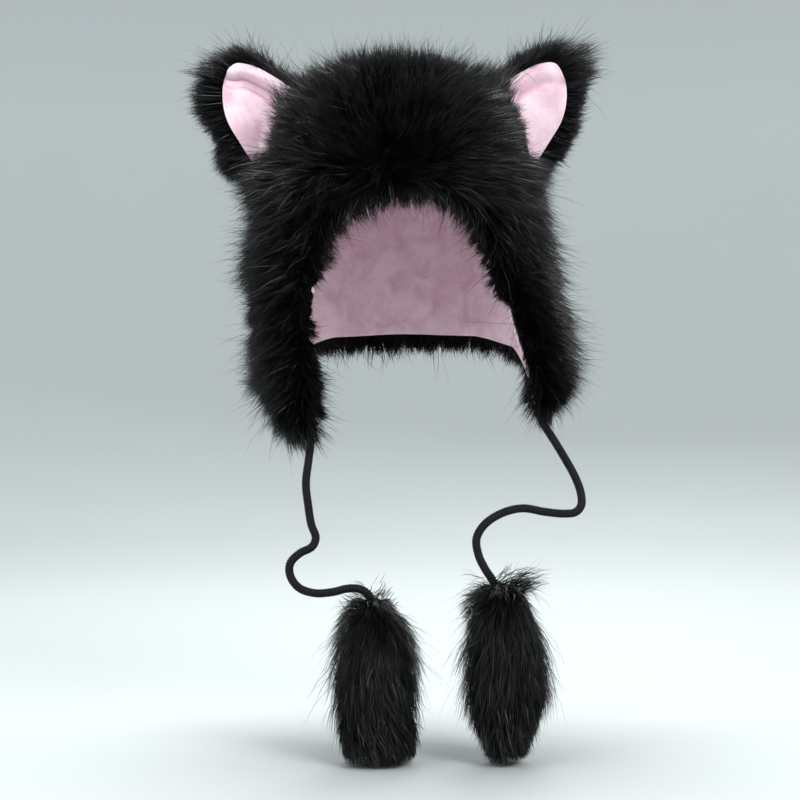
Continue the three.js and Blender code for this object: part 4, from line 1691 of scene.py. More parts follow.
    def scatter(self, panel: Panel, count: int, random: Chance) -> tuple[Floats, Floats]:
        """Spread follicles evenly over a panel.

        Args:
            panel: Which one.
            count: About how many.
            random: The source of chance.

        Returns:
            Turns and depths.
        """
        levels = self.CROWN_CELLS + int((self.DEEPEST - self.wall.crown_depth) / self.CELL)
        turns, heights = np.meshgrid(
            np.arange(-180.0, 180.0, self.CELL_TURN), np.arange(levels), indexing="ij"
        )
        turns, heights = turns.ravel(), heights.ravel().astype(float)
        corner = self.wall.point(turns, self.depth_of(heights), self.AREA_OFFSET)
        beside = self.wall.point(turns + self.CELL_TURN, self.depth_of(heights), self.AREA_OFFSET)
        below = self.wall.point(turns, self.depth_of(heights + 1.0), self.AREA_OFFSET)
        area = np.linalg.norm(np.cross(beside - corner, below - corner), axis=1)
        depths = self.depth_of(heights + 0.5)
        shifts = (0.0, -2.0 * self.CELL, 2.0 * self.CELL)
        near = [self.inside(panel, turns + self.CELL_TURN / 2.0, depths + shift) for shift in shifts]
        area = np.where(np.any(near, axis=0), area, 0.0)
        if panel is Panel.CROWN:
            area = area * np.where(np.abs(turns) > self.back_start, self.back_share, 1.0)
        cells = random.choice(len(area), size=int(count * 1.25), p=area / area.sum())
        turn = turns[cells] + random.uniform(0.0, self.CELL_TURN, len(cells))
        depth = self.depth_of(heights[cells] + random.uniform(0.0, 1.0, len(cells)))
        keep = np.flatnonzero(self.inside(panel, turn, depth))[:count]
        return turn[keep], depth[keep]

    def plant(self, panel: Panel, seed: int) -> Follicles:
        """Plant a panel's strands.

        Args:
            panel: Which one.
            seed: Fixes what is random.

        Returns:
            Its follicles.
        """
        random = np.random.default_rng(seed)
        count = self.counts[panel]
        has_edge = panel is not Panel.CROWN
        fringe = int(count * self.fringe_share) if has_edge else 0
        cover = int(count * self.cover_share) if has_edge else 0
        turn, depth = self.scatter(panel, count - fringe - cover, random)
        start = self.skin_offset(turn, depth) - self.sunk
        root = self.wall.point(turn, depth, start)
        outward = self.wall.normal(turn, depth)
        lay, stand, tone = self.comb(root + outward * 20.0, outward)
        reach = lerp(*self.pile, random.beta(2.2, 1.3, len(turn)))
        reach = reach + self.extra_reach(root + outward * 20.0) - self.skin[1] + self.sunk
        length = reach / np.sin(np.radians(np.clip(stand, 25.0, 90.0)))
        length = np.clip(length, *self.length_limits)
        planted = Follicles(root, outward, lay, stand, length, tone)
        if has_edge:
            hanging = self.plant_fringe(panel, fringe, random)
            planted = Follicles.joined([planted, hanging, self.plant_cover(panel, cover, random)])
        if panel is not Panel.NECK:
            at_edge = np.arange(len(planted.root)) >= len(root)
            planted = Outline(HAT_EDGE).groom(planted, at_edge, seed)
        for bare in (LEFT_EAR_BARE, RIGHT_EAR_BARE):
            planted = Outline(bare).keep_clear(planted, -9.0, seed)
        return self.spare_ears(planted)

    @staticmethod
    def extra_reach(places: Floats) -> Floats:
        """Read how much further than elsewhere the pile reaches, in millimetres."""
        rows = np.array(REACH, dtype=float)
        distance = np.linalg.norm(places[:, None, :] - rows[None, :, :3], axis=2)
        return bell(distance, 0.0, rows[:, 3]) @ rows[:, 4]

    def comb(self, places: Floats, outward: Floats) -> tuple[Floats, Floats, Floats]:
        """Read how the fur is combed.

        Args:
            places: Where.
            outward: Directions off the skin there.

        Returns:
            The lay, the stand and the tone at each place.
        """
        rows = np.array(COMBING)
        distance = np.linalg.norm(places[:, None, :] - rows[None, :, :3], axis=2)
        weight = 1.0 / (distance + 6.0) ** 3.5
        weight /= weight.sum(axis=1, keepdims=True)
        blend = across(weight @ unit(rows[:, 3:6]), outward)
        doubt = 1.0 - np.clip(np.linalg.norm(blend, axis=1, keepdims=True), 0.0, 1.0)
        drift = np.column_stack([Waves(seed, 15.0).read(places) for seed in (36, 37, 38)])
        lay = unit(across(blend + drift * doubt, outward) + TINY)
        stand = weight @ rows[:, 6] + Waves(33, 30.0).read(places) * 8.0
        loose = 1.0 + 1.6 * smooth((stand - 58.0) / 25.0)
        turn = Waves(31, 30.0).read(places) * self.sway + Waves(35, 13.0).read(places) * 16.0
        lay = turned(lay, np.cross(outward, lay), turn * loose)
        # Painted light and shade: the rows' tones light the crown's top and sides and darken its front, with
        # a random drift on top
        tone = weight @ rows[:, 7] + Waves(34, 26.0).read(places) * 0.12
        return lay, stand, tone

    def edge_spots(self, panel: Panel, count: int, random: Chance) -> tuple[Floats, ...]:
        """Spread places evenly along a panel's lower edge.

        Args:
            panel: Which one.
            count: How many.
            random: The source of chance.

        Returns:
            Their turns, and the directions out of the wall and off the edge there.
        """
        turns = np.arange(-180.0, 180.0, 0.25)
        edge = self.wall.hollow(turns, self.wall.edge_depth(turns))
        steps = np.linalg.norm(np.roll(edge, -1, axis=0) - edge, axis=1)
        inside = self.inside(panel, turns, self.wall.edge_depth(turns) - 0.5)
        steps = np.where(inside, steps, 0.0)
        turn = turns[random.choice(len(turns), size=count, p=steps / steps.sum())]
        turn = turn + random.uniform(0.0, 0.25, count)
        return turn, self.wall.normal(turn, self.wall.edge_depth(turn)), self.wall.edge_outward(turn)

    def plant_fringe(self, panel: Panel, count: int, random: Chance) -> Follicles:
        """Plant the strands that hang off a panel's lower edge.

        Args:
            panel: Which one.
            count: How many.
            random: The source of chance.

        Returns:
            Their follicles.
        """
        turn, outward, off_edge = self.edge_spots(panel, count, random)
        inset = self.fringe_depth * random.uniform(0.0, 1.0, count) ** 1.2
        start = lerp(*self.skin, smooth(inset / self.rounding)) - self.sunk
        root = self.wall.edge_point(turn, start, -inset + 1.0)
        lay, _, tone = self.comb(root + outward * 15.0, outward)
        upright = 1.0 - np.clip(-off_edge[:, 2], 0.0, 1.0)
        fan = lerp(-4.0, 62.0, inset / self.fringe_depth) + random.normal(0.0, 8.0, count)
        heading = turned(unit(off_edge + lay * (0.5 - 0.25 * upright)[:, None]), outward, fan)
        length = random.uniform(*self.fringe_pile, count) * lerp(1.0, 0.85, upright)
        return Follicles.aimed(root, outward, heading, length, tone)

    def plant_cover(self, panel: Panel, count: int, random: Chance) -> Follicles:
        """Plant the strands that bend in over the lining's rim, where it doesn't show.

        Args:
            panel: Which one.
            count: How many.
            random: The source of chance.

        Returns:
            Their follicles.
        """
        turn, outward, off_edge = self.edge_spots(panel, count, random)
        depth = self.wall.edge_depth(turn)
        root = self.wall.edge_point(turn, random.uniform(3.4, 5.5, count), random.uniform(-0.5, 1.8, count))
        lay, _, tone = self.comb(root + outward * 25.0, outward)
        heading = off_edge - UP * 0.45 + lay * 0.15
        heading = heading - outward * random.uniform(-0.1, 0.6, count)[:, None]
        length = random.uniform(*self.cover_pile, count)
        length = length * lerp(1.0, 1.15, smooth((depth - 195.0) / 25.0))
        planted = Follicles.aimed(root, outward, heading, length, tone - 0.1)
        keep = np.ones(count, dtype=bool)
        for side, (top, bottom) in PLUSH_SHOWS.items():
            at_front = (np.sign(turn) == side) & (np.abs(turn) < self.front_end)
            ragged = random.uniform(-6.0, 6.0, count)
            keep &= ~(at_front & (-depth < top + ragged) & (-depth > bottom + ragged))
        return planted.pick(keep)

    @staticmethod
    def spare_ears(planted: Follicles) -> Follicles:
        """Leave out the strands that would come through a cat ear's plush.

        Args:
            planted: The strands.

        Returns:
            Those that are left.
        """
        keep = np.ones(len(planted.root), dtype=bool)
        heading = turned(unit(planted.lay), planted.outward, planted.stand)
        tips = planted.root + heading * planted.length[:, None]
        for ear in EAR_PLACES:
            root, tip = ear.local(planted.root), ear.local(tips)
            behind = root[:, 2] < 4.0
            through = behind & (tip[:, 2] > -14.0) & (root[:, 0] > -58.0) & (tip[:, 1] > -42.0)
            near = behind & (root[:, 2] > -34.0) & (root[:, 0] > -44.0) & (root[:, 1] > -40.0)
            keep &= ~(through & (root[:, 1] > -48.0) & (root[:, 2] > -40.0)) & ~near
        return planted.pick(keep)


@dataclass
class CatEar:
    """A cat ear: padded fur back and rim, and plush inside.

    Attributes:
        at: Where it stands.
        strands: Makes its fur.
        underfur: Material under the fur.
        plush: Material of its inside.
        roll: How strongly the plush's upper edge rolls over, from 0 to 1.
        comb: Height over the base, and how far the fur leans out and up there, one a row.
        count: Strands.
        cup: How far the ear's face is dished.
        thickness: Of the plush.
        pile: Length of the fur on the rim.
        back_pile: Lengths of the shortest and of the longest hairs on the back.
        back_stand: Degrees between these and the back.
        rim_share: Share of the strands that grow on the rim.
        seed: Fixes what is random.
    """

    at: EarPlace
    strands: StrandMaker
    underfur: Material
    plush: Material
    roll: float
    comb: tuple[tuple[float, float, float], ...]
    count: int = 15000
    cup: float = 9.0
    thickness: float = 3.0
    pile: float = 31.0
    back_pile: tuple[float, float] = (20.0, 30.0)
    back_stand: float = 38.0
    rim_share: float = 0.72
    seed: int = 41

    STEPS = 88
    BASE_STEPS = 16
    # The ear's body from front to back: how far it reaches past the outline, and where
    BODY_ROWS = ((2.5, -1.5), (5.0, -5.0), (6.5, -10.0), (5.5, -15.5), (1.0, -20.5), (-9.0, -24.5))
    # The plush's rolled edge and the crease under it: height or depth, distance from the edge, width
    ROLLED = (4.6, 6.5, 4.6)
    CREASED = (5.0, 15.0, 3.4)
    # Share of the outline at which the rolled edge starts
    UPPER_START = 0.56

    def outline(self) -> Floats:
        """Space the outline: out, up and pile, one place a row."""
        return spaced_path(np.array(EAR_OUTLINE, dtype=float), self.STEPS)

    def build(self) -> None:
        """Build and dress the ear's body, its fur and its plush."""
        self.build_body()
        name = f"cat_ear_{self.at.name}"
        pelt = self.strands.grow(f"{name}_pelt", self.plant(), self.seed + self.at.side)
        place_piece(f"{name}_pelt", pelt, BLACK_FUR_SLOT, f"{name}_fur")
        self.build_plush()

    def dish(self, share: Floats | float) -> Floats | float:
        """Tell how far the ear's face lies back at a share of the outline."""
        return -self.cup * (1.0 - share * share)

    def ring(self, outline: Floats, share: float, spread: Floats | float, front: Floats | float) -> Floats:
        """Shrink the outline to a share, spread it, and place it.

        Args:
            outline: Rows of out, up and pile.
            share: Of the way from the ear's middle.
            spread: Millimetres past that.
            front: Towards the front.

        Returns:
            The ring's places.
        """
        arm = outline[:, :2] - EAR_MIDDLE
        size = np.linalg.norm(arm, axis=1, keepdims=True)
        arm = arm * (share + np.reshape(spread, (-1, 1)) / size)
        local = np.column_stack([EAR_MIDDLE + arm, np.zeros(len(arm)) + front])
        return self.at.place(local)

    def centre(self, front: float) -> Floats:
        """Place the ear's middle."""
        return self.at.place(np.array([[*EAR_MIDDLE, front]]))[0]

    def build_body(self) -> None:
        """Build the padded body that the fur grows on."""
        outline = np.vstack([self.outline(), np.array(EAR_ROOT, dtype=float)])
        shown = np.concatenate([np.ones(self.STEPS), np.zeros(len(EAR_ROOT))])
        rings = [self.ring(outline, share, 0.0, self.dish(share)) for share in (0.3, 0.6, 0.8, 0.93)]
        rings.append(self.ring(outline, 1.0, 0.0, 0.0))
        rings += [self.ring(outline, 1.0, spread * shown, front) for spread, front in self.BODY_ROWS]
        rings += [self.ring(outline, 0.55, 0.0, -27.0), self.ring(outline, 0.25, 0.0, -28.5)]
        name = f"cat_ear_{self.at.name}_body"
        mesh = loft_mesh(name, self.underfur, self.centre(self.dish(0.0)), rings, self.centre(-29.0))
        body = place_piece(name, mesh, BLACK_FUR_SLOT, f"cat_ear_{self.at.name}_fur")

    def plant(self) -> Follicles:
        """Plant the fur round the rim and over the back.

        Returns:
            The follicles.
        """
        random = np.random.default_rng(self.seed + self.at.side)
        outline = self.outline()
        rim = self.plant_rim(outline, int(self.count * self.rim_share), random)
        back = self.plant_back(outline, self.count - len(rim.root), random)
        planted = Follicles.joined([rim, back])
        at_rim = np.arange(len(planted.root)) < len(rim.root)
        return Outline(HAT_EDGE).groom(planted, at_rim, self.seed)

    def combed(self, normal: Floats, up: Floats) -> Floats:
        """Comb directions of the frontal plane.

        Args:
            normal: Directions off the rim, out and up.
            up: Height of each place over the ear's base.

        Returns:
            The directions in which the fur lies.
        """
        levels, out, rise = columns_of(self.comb)
        pull = np.column_stack([np.interp(up, levels, out), np.interp(up, levels, rise)])
        return unit(normal + pull)

    def spots(self, outline: Floats, count: int, random: Chance) -> tuple[Floats, ...]:
        """Spread places along the outline.

        Args:
            outline: Rows of out, up and pile.
            count: How many.
            random: The source of chance.

        Returns:
            Steps along the outline, rows of out, up and pile, and directions off the rim.
        """
        step = random.uniform(0.0, self.STEPS - 1.001, count)
        base = step.astype(int)
        spot = lerp(outline[base], outline[base + 1], (step % 1.0)[:, None])
        along = unit(outline[base + 1, :2] - outline[base, :2])
        normal = np.stack([along[:, 1], -along[:, 0]], axis=1)
        normal *= np.sign(np.sum(normal * (spot[:, :2] - EAR_MIDDLE), axis=1, keepdims=True))
        return step, spot, normal

    def plant_rim(self, outline: Floats, count: int, random: Chance) -> Follicles:
        """Plant the fur that stands off the rim.

        Args:
            outline: Rows of out, up and pile.
            count: How many strands.
            random: The source of chance.

        Returns:
            The follicles.
        """
        step, spot, normal = self.spots(outline, count, random)
        depth = random.uniform(0.0, 1.0, count) ** 0.9
        inset = np.interp(depth, [0.0, 0.25, 0.6, 1.0], [-1.5, 3.0, 4.5, -2.0])[:, None]
        places = self.at.place(np.column_stack([spot[:, :2] + normal * inset, -0.6 - 20.0 * depth]))
        pitch = np.interp(depth, [0.0, 0.15, 0.6, 1.0], [20.0, 12.0, -15.0, -50.0])
        pitch = np.radians(pitch + random.normal(0.0, 8.0, count))[:, None]
        outward = self.at.turn(np.column_stack([normal * np.cos(pitch), np.sin(pitch)]))
        wander = Waves(53, 14.0).read(places)[:, None] * 0.3
        heading = self.combed(normal, spot[:, 1])
        heading = heading + np.column_stack([-heading[:, 1], heading[:, 0]]) * wander
        heading = self.at.turn(np.column_stack([unit(heading) * np.cos(pitch), np.sin(pitch) - 0.05]))
        ends = np.minimum(step, self.STEPS - 1 - step) / 10.0
        length = self.pile * spot[:, 2] * random.uniform(0.72, 1.08, count) * lerp(0.6, 1.0, smooth(ends))
        # Painted light: the rim's fur is made lighter than the back's, standing for the light through the
        # ear's fringe
        tone = 0.85 + Waves(51, 20.0).read(places) * 0.12
        return Follicles.aimed(places, outward, heading, length, tone)

    def plant_back(self, outline: Floats, count: int, random: Chance) -> Follicles:
        """Plant the fur over the back.

        Args:
            outline: Rows of out, up and pile.
            count: How many strands.
            random: The source of chance.

        Returns:
            The follicles.
        """
        _, spot, _ = self.spots(outline, count, random)
        share = random.uniform(0.0, 1.0, count) ** 0.5
        arm = (spot[:, :2] - EAR_MIDDLE) * share[:, None]
        front = np.interp(share, [0.0, 0.55, 1.0], [-28.0, -26.0, -19.5])
        places = self.at.place(np.column_stack([EAR_MIDDLE + arm, front]))
        outward = self.at.turn(unit(np.column_stack([arm * 0.012, -np.ones(count)])))
        lay = self.combed(unit(arm + TINY), spot[:, 1])
        lay = self.at.turn(np.column_stack([lay, np.zeros(count)]))
        stand = np.full(count, self.back_stand)
        length = random.uniform(*self.back_pile, count)
        tone = 0.5 + Waves(52, 24.0).read(places) * 0.15
        return Follicles(places, outward, lay, stand, length, tone)

    def build_plush(self) -> None:
        """Build the plush inside, dished, with its upper edge rolled over and painted shade in the crease
        under it.
        """
        outline = self.outline()
        closing = np.linspace(outline[-1], outline[0], self.BASE_STEPS + 2)[1:-1]
        outline = np.vstack([outline, closing])
        face = GAP + self.thickness
        shares = np.concatenate([np.linspace(0.08, 0.92, 18), [0.955, 0.98]])
        rings = []
        deep = [np.zeros(1)]
        for share in shares:
            spots = EAR_MIDDLE + (outline[:, :2] - EAR_MIDDLE) * share
            front = self.dish(share) + face + self.relief(spots, outline)
            rings.append(self.ring(outline, share, 0.0, front))
            # Mark the painted shade of the crease, as strong as the edge rolls
            deep.append(bell(self.from_rolled_edge(spots, outline), *self.CREASED[1:]) * self.roll)
        rings += [
            self.ring(outline, 1.0, -0.5, face - 0.5),
            self.ring(outline, 1.0, 0.0, GAP + self.thickness / 2.0),
            self.ring(outline, 1.0, -0.6, GAP + 0.4),
            *(self.ring(outline, share, 0.0, self.dish(share) + GAP) for share in (0.95, 0.6, 0.25)),
        ]
        name = f"cat_ear_{self.at.name}_plush"
        front, behind = (self.centre(self.dish(0.0) + off) for off in (face, GAP))
        mesh = loft_mesh(name, self.plush, front, rings, behind)
        layer = mesh.attributes.new(CREASE_SHADE, "FLOAT", "POINT")
        deep.append(np.zeros(len(mesh.vertices) - sum(len(part) for part in deep)))
        layer.data.foreach_set("value", np.concatenate(deep).astype(np.float32))
        place_piece(name, mesh, PINK_PLUSH_SLOT, f"cat_ear_{self.at.name}_pink")

    def relief(self, spots: Floats, outline: Floats) -> Floats:
        """Raise the rolled edge, sink the crease under it, and add soft dents.

        Args:
            spots: Places out and up on the ear's face.
            outline: The ear's outline.

        Returns:
            Millimetres towards the front.
        """
        distance = self.from_rolled_edge(spots, outline)
        rolled, creased = (height * bell(distance, *shape) for height, *shape in (self.ROLLED, self.CREASED))
        flat = np.column_stack([spots, np.zeros(len(spots))])
        dents = Waves(61 + self.at.side, 26.0).read(flat) * 0.35
        return (rolled - creased) * self.roll + dents

    def from_rolled_edge(self, spots: Floats, outline: Floats) -> Floats:
        """Find how far places on the ear's face are from its rolled upper edge."""
        upper = outline[int(self.STEPS * self.UPPER_START):self.STEPS, :2]
        return np.linalg.norm(spots[:, None, :] - upper[None], axis=2).min(axis=1)


@dataclass
class Lining:
    """The plush wall inside the crown, the flaps and the nape.

    Attributes:
        wall: The hat's wall.
        plush: Its material.
        thickness: Of the cloth.
        gores: How many pieces the crown is sewn from.
        seam: How deep the seams lie.
        seam_width: How wide.
    """

    wall: HatWall
    plush: Material
    thickness: float = 3.0
    gores: int = 6
    seam: float = 0.9
    seam_width: float = 2.2

    COLUMNS = 160

    def build(self) -> None:
        """Build and dress the lining."""
        top, edge = self.wall.columns(self.COLUMNS)
        edge_depth = self.wall.edge_depth(edge)
        crown = self.wall.crown_level(np.linspace(4.0, 75.0, 15))
        depths = [np.full(self.COLUMNS, level) for level in crown]
        for share in np.linspace(0.0, 0.99, 24):
            depths.append(lerp(self.wall.crown_level(78.0), edge_depth, share))
        outer, inner = [], []
        for depth in depths:
            turn = lerp(top, edge, depth / edge_depth)
            outer.append(self.wall.point(turn, depth, self.thickness))
            inner.insert(0, self.wall.point(turn, depth, self.sewn(turn, depth)))
        rim = [
            self.wall.edge_point(edge, self.thickness - 0.4, 0.5),
            self.wall.edge_point(edge, self.thickness / 2.0, 1.0),
            self.wall.edge_point(edge, 0.5, 0.5),
        ]
        rings = [*outer, *rim, *inner]
        mesh = loft_mesh("lining_plush", self.plush, UP * self.thickness, rings, UP * 0.5)
        place_piece("lining_plush", mesh, PINK_PLUSH_SLOT, "lining")

    def sewn(self, turn: Floats, depth: Floats) -> Floats:
        """Find the offset of the lining's inner face, sunk along its seams.

        Args:
            turn: Degrees from the front.
            depth: Under the inner top.

        Returns:
            Millimetres out of the hollow.
        """
        gore = 360.0 / self.gores
        place = self.wall.hollow(turn, depth)
        from_seam = np.abs((turn + gore / 2.0) % gore - gore / 2.0)
        beside = np.radians(from_seam) * np.linalg.norm(place[:, :2], axis=1)
        down = np.where(depth < self.wall.seam_depth, bell(beside, 0.0, self.seam_width), 0.0)
        level = bell(depth, self.wall.seam_depth, self.seam_width)
        rumple = (Waves(71, 34.0).read(place) + 1.2) * 0.25
        return np.clip(rumple, 0.05, 0.7) + np.maximum(down, level) * self.seam


@dataclass
class Tassel:
    """A stuffed fur tassel.

    Attributes:
        name: Which one.
        sections: Height, middle across, half width and half depth, by columns.
        strands: Makes its fur.
        underfur: Material under the fur.
        swirl: Degrees by which the fur turns aside at the top and at the bottom.
        edge: The fur's edge seen from the front.
        tufts: Tufts of longer hairs: x, z, direction x, z, length, how many.
        count: Strands.
        sunk: How much smaller the core is than the sections.
        pile: Lengths of the shortest and of the longest hairs.
        droop: Share of its length by which a hair's tip sinks.
        give: How much of its reach under the floor a hair keeps when it lies on it.
        seed: Fixes what is random.
    """

    name: str
    sections: list[tuple[float, ...]]
    strands: StrandMaker
    underfur: Material
    swirl: tuple[float, float]
    edge: tuple[tuple[float, float], ...]
    tufts: tuple[tuple[float, ...], ...]
    count: int = 11500
    sunk: float = 6.0
    pile: tuple[float, float] = (22.0, 32.0)
    droop: float = 0.2
    give: float = 0.06
    seed: int = 81

    SIDES = 40
    RINGS = 24

    def section(self, height: Floats) -> Floats:
        """Read the core's middle across, half width and half depth.

        Args:
            height: Where.

        Returns:
            The three, one column each.
        """
        heights, *columns = self.sections
        stops = tuple(-value for value in heights)
        middle, width, depth = (Table(stops, column).read(-height) for column in columns)
        return np.stack([middle, width - self.sunk, depth - self.sunk], axis=-1)

    def build(self) -> list[Piece]:
        """Build and dress the tassel.

        Returns:
            Its stuffed core and its fur.
        """
        node = f"tassel_{self.name}"
        top, bottom = self.sections[0][0] - 1.0, self.sections[0][-1] - 4.0
        angle = np.linspace(0.0, 2.0 * math.pi, self.SIDES, endpoint=False)
        circle = np.column_stack([np.cos(angle), np.sin(angle), np.zeros(self.SIDES)])
        rings = []
        for height in np.linspace(top, bottom, self.RINGS):
            middle, width, depth = self.section(np.array([height]))[0]
            lumps = 1.0 + 0.05 * Waves(91, 22.0).read(circle * 25.0 + UP * height)
            across_line = middle + width * lumps * circle[:, 0]
            front = TASSEL_Y + depth * lumps * circle[:, 1]
            rings.append(np.column_stack([across_line, front, np.full(self.SIDES, height)]))
        first, last = (self.section(np.array([height]))[0, 0] for height in (top, bottom))
        ends = np.array([[first, TASSEL_Y, top + 3.0], [last, TASSEL_Y, bottom - 4.0]])
        mesh = loft_mesh(f"{node}_core", self.underfur, ends[0], rings, ends[1])
        core = place_piece(f"{node}_core", mesh, BLACK_FUR_SLOT, node)
        pelt = self.strands.grow(f"{node}_pelt", self.plant(top, bottom), self.seed, self.droop)
        self.rest_on_floor(pelt)
        return [core, place_piece(f"{node}_pelt", pelt, BLACK_FUR_SLOT, node)]

    def rest_on_floor(self, mesh: Mesh) -> None:
        """Lay what would reach under the floor flat on it.

        Args:
            mesh: The fur.
        """
        places = np.empty(len(mesh.vertices) * 3, dtype=np.float32)
        mesh.vertices.foreach_get("co", places)
        heights = places[2::3]
        floor = (FLOOR_LEVEL + 0.4) * METRES
        np.copyto(heights, np.where(heights < floor, floor + (floor - heights) * self.give, heights))
        mesh.vertices.foreach_set("co", places)
        mesh.update()

    def plant(self, top: float, bottom: float) -> Follicles:
        """Plant the tassel's fur.

        Args:
            top: Height of the core's top.
            bottom: Height of its foot.

        Returns:
            The follicles.
        """
        random = np.random.default_rng(self.seed)
        height = random.uniform(bottom, top, self.count)
        angle = random.uniform(0.0, 2.0 * math.pi, self.count)
        middle, width, depth = self.section(height).T
        root = np.column_stack([middle + width * np.cos(angle), TASSEL_Y + depth * np.sin(angle), height])
        out = unit(np.column_stack([np.cos(angle), np.sin(angle), np.zeros(self.count)]))
        around = np.column_stack([-np.sin(angle), np.cos(angle), np.zeros(self.count)])
        share = (top - height) / (top - bottom)
        crown = np.exp(-share * 9.0)[:, None]
        outward = unit(out + UP * crown * 1.4)
        swirl = lerp(*self.swirl, smooth(share)) + Waves(92, 24.0).read(root) * 16.0
        swirl = swirl + Waves(95, 11.0).read(root) * 12.0
        lay = turned(-UP, around, swirl) + out * crown * 0.9
        stand = lerp(42.0, 12.0, smooth(share * 4.0)) + 7.0 * smooth((share - 0.7) / 0.3)
        stand = stand + Waves(93, 16.0).read(root) * 6.0
        length = random.uniform(*self.pile, self.count) * lerp(1.0, 0.8, crown[:, 0])
        tone = 0.42 + Waves(94, 20.0).read(root) * 0.15 - 0.2 * crown[:, 0]
        planted = Follicles(root, outward, lay, stand, length, tone)
        planted = Outline(self.edge, growth=1.7, longest=40.0).groom(planted, share > 0.75, self.seed)
        return Follicles.joined([planted, *(self.plant_tuft(tuft, random) for tuft in self.tufts)])

    @staticmethod
    def plant_tuft(tuft: tuple[float, ...], random: Chance) -> Follicles:
        """Plant a tuft of longer hairs.

        Args:
            tuft: Its place x, height, direction x, z, length and how many hairs.
            random: The source of chance.

        Returns:
            The follicles.
        """
        x, z, aside, rise, length, number = tuft
        root = np.array([x, TASSEL_Y, z]) + random.normal(0.0, 4.5, (number, 3))
        heading = np.array([aside, -0.1, rise]) + random.normal(0.0, 0.28, (number, 3))
        outward = unit(np.array([aside, -0.3, 0.8]) + np.zeros((number, 3)))
        lengths = length * random.uniform(0.55, 1.1, number)
        return Follicles.aimed(root, outward, heading, lengths, np.full(number, 0.15))


@dataclass
class Cord:
    """A braided cord from a flap's tip to its tassel.

    Attributes:
        name: Which one.
        route: Points from the flap to inside the tassel.
        braid: Its material.
        diameter: Millimetres.
        plait: Millimetres along the cord between two threads.
        relief: How far the threads stand out.
        threads: How many threads wind round the cord.
        ring_spacing: Millimetres between two rings of the mesh.
        sides: Corners of a ring.
    """

    name: str
    route: tuple[tuple[float, float, float], ...]
    braid: Material
    diameter: float = 5.6
    plait: float = 2.0
    relief: float = 0.8
    threads: int = 4
    ring_spacing: float = 0.32
    sides: int = 20

    LINE_POINTS = 240

    def build(self) -> Piece:
        """Build and dress the cord.

        Returns:
            The object.
        """
        line = spaced_path(np.array(self.route, dtype=float), self.LINE_POINTS) * METRES
        curve = bpy.data.curves.new(f"cord_{self.name}_line", "CURVE")
        curve.dimensions = "3D"
        spline = curve.splines.new("POLY")
        spline.points.add(len(line) - 1)
        spline.points.foreach_set("co", np.column_stack([line, np.ones(len(line))]).ravel())
        mesh = grown_mesh(f"cord_{self.name}_braid", curve, self.braid_tree(), {
            "Radius": (self.diameter / 2.0 - self.relief * 0.4) * METRES,
            "Relief": self.relief * METRES,
            "Ring Spacing": self.ring_spacing * METRES,
            "Plait": self.plait * METRES,
            "Threads": float(self.threads),
            "Sides": self.sides,
            "Finish": self.braid,
        })
        return place_piece(f"cord_{self.name}_braid", mesh, BLACK_CORD_SLOT, f"cord_{self.name}")

    def declare(self, piece: Piece, tassel: list[Piece]) -> None:
        """Measure the cord's route, and keep nothing of it.

        Args:
            piece: The cord's object; not used.
            tassel: The tassel's objects; not used.
        """
        path_length(np.array(self.route, dtype=float)) * METRES

    @staticmethod
    def braid_tree() -> Tree:
        """Build the tree that sweeps a round section along a line and raises braided threads on it.

        Returns:
            The tree.
        """
        tree, sheet = new_tree("braided cord", "Cord", {
            "Line": "Geometry",
            "Radius": "Float",
            "Relief": "Float",
            "Ring Spacing": "Float",
            "Plait": "Float",
            "Threads": "Float",
            "Sides": "Int",
            "Finish": "Material",
        })
        given = sheet.add("NodeGroupInput").outputs
        by_length = {"mode": "LENGTH"}
        spacing = given["Ring Spacing"]
        evenly = sheet.make("GeometryNodeResampleCurve", by_length, Curve=given["Line"], Length=spacing)
        place = sheet.add("GeometryNodeSplineParameter").outputs
        line = sheet.store(evenly, "braid_length", place["Length"])
        sides, radius = given["Sides"], given["Radius"]
        circle = sheet.make("GeometryNodeCurvePrimitiveCircle", Resolution=sides, Radius=radius)
        section = sheet.store(circle, "braid_turn", place["Factor"])
        swept = sheet.make("GeometryNodeCurveToMesh", Curve=line, Profile_Curve=section, Fill_Caps=True)
        run = sheet.sum("DIVIDE", sheet.named("braid_length"), given["Plait"])
        turn = sheet.sum("MULTIPLY", sheet.named("braid_turn"), given["Threads"])
        phase = sheet.sum("MULTIPLY", sheet.sum("ADD", run, turn), math.pi)
        height = sheet.sum("ABSOLUTE", sheet.sum("COSINE", phase))
        relief = sheet.sum("MULTIPLY", height, given["Relief"])
        offset = sheet.scaled(sheet.make("GeometryNodeInputNormal"), relief)
        raised = sheet.make("GeometryNodeSetPosition", Geometry=swept, Offset=offset)
        threaded = sheet.store(raised, THREAD_HEIGHT, height)
        cord = sheet.finish(threaded, ("braid_length", "braid_turn"), given["Finish"])
        sheet.add("NodeGroupOutput", Cord=cord)
        return tree


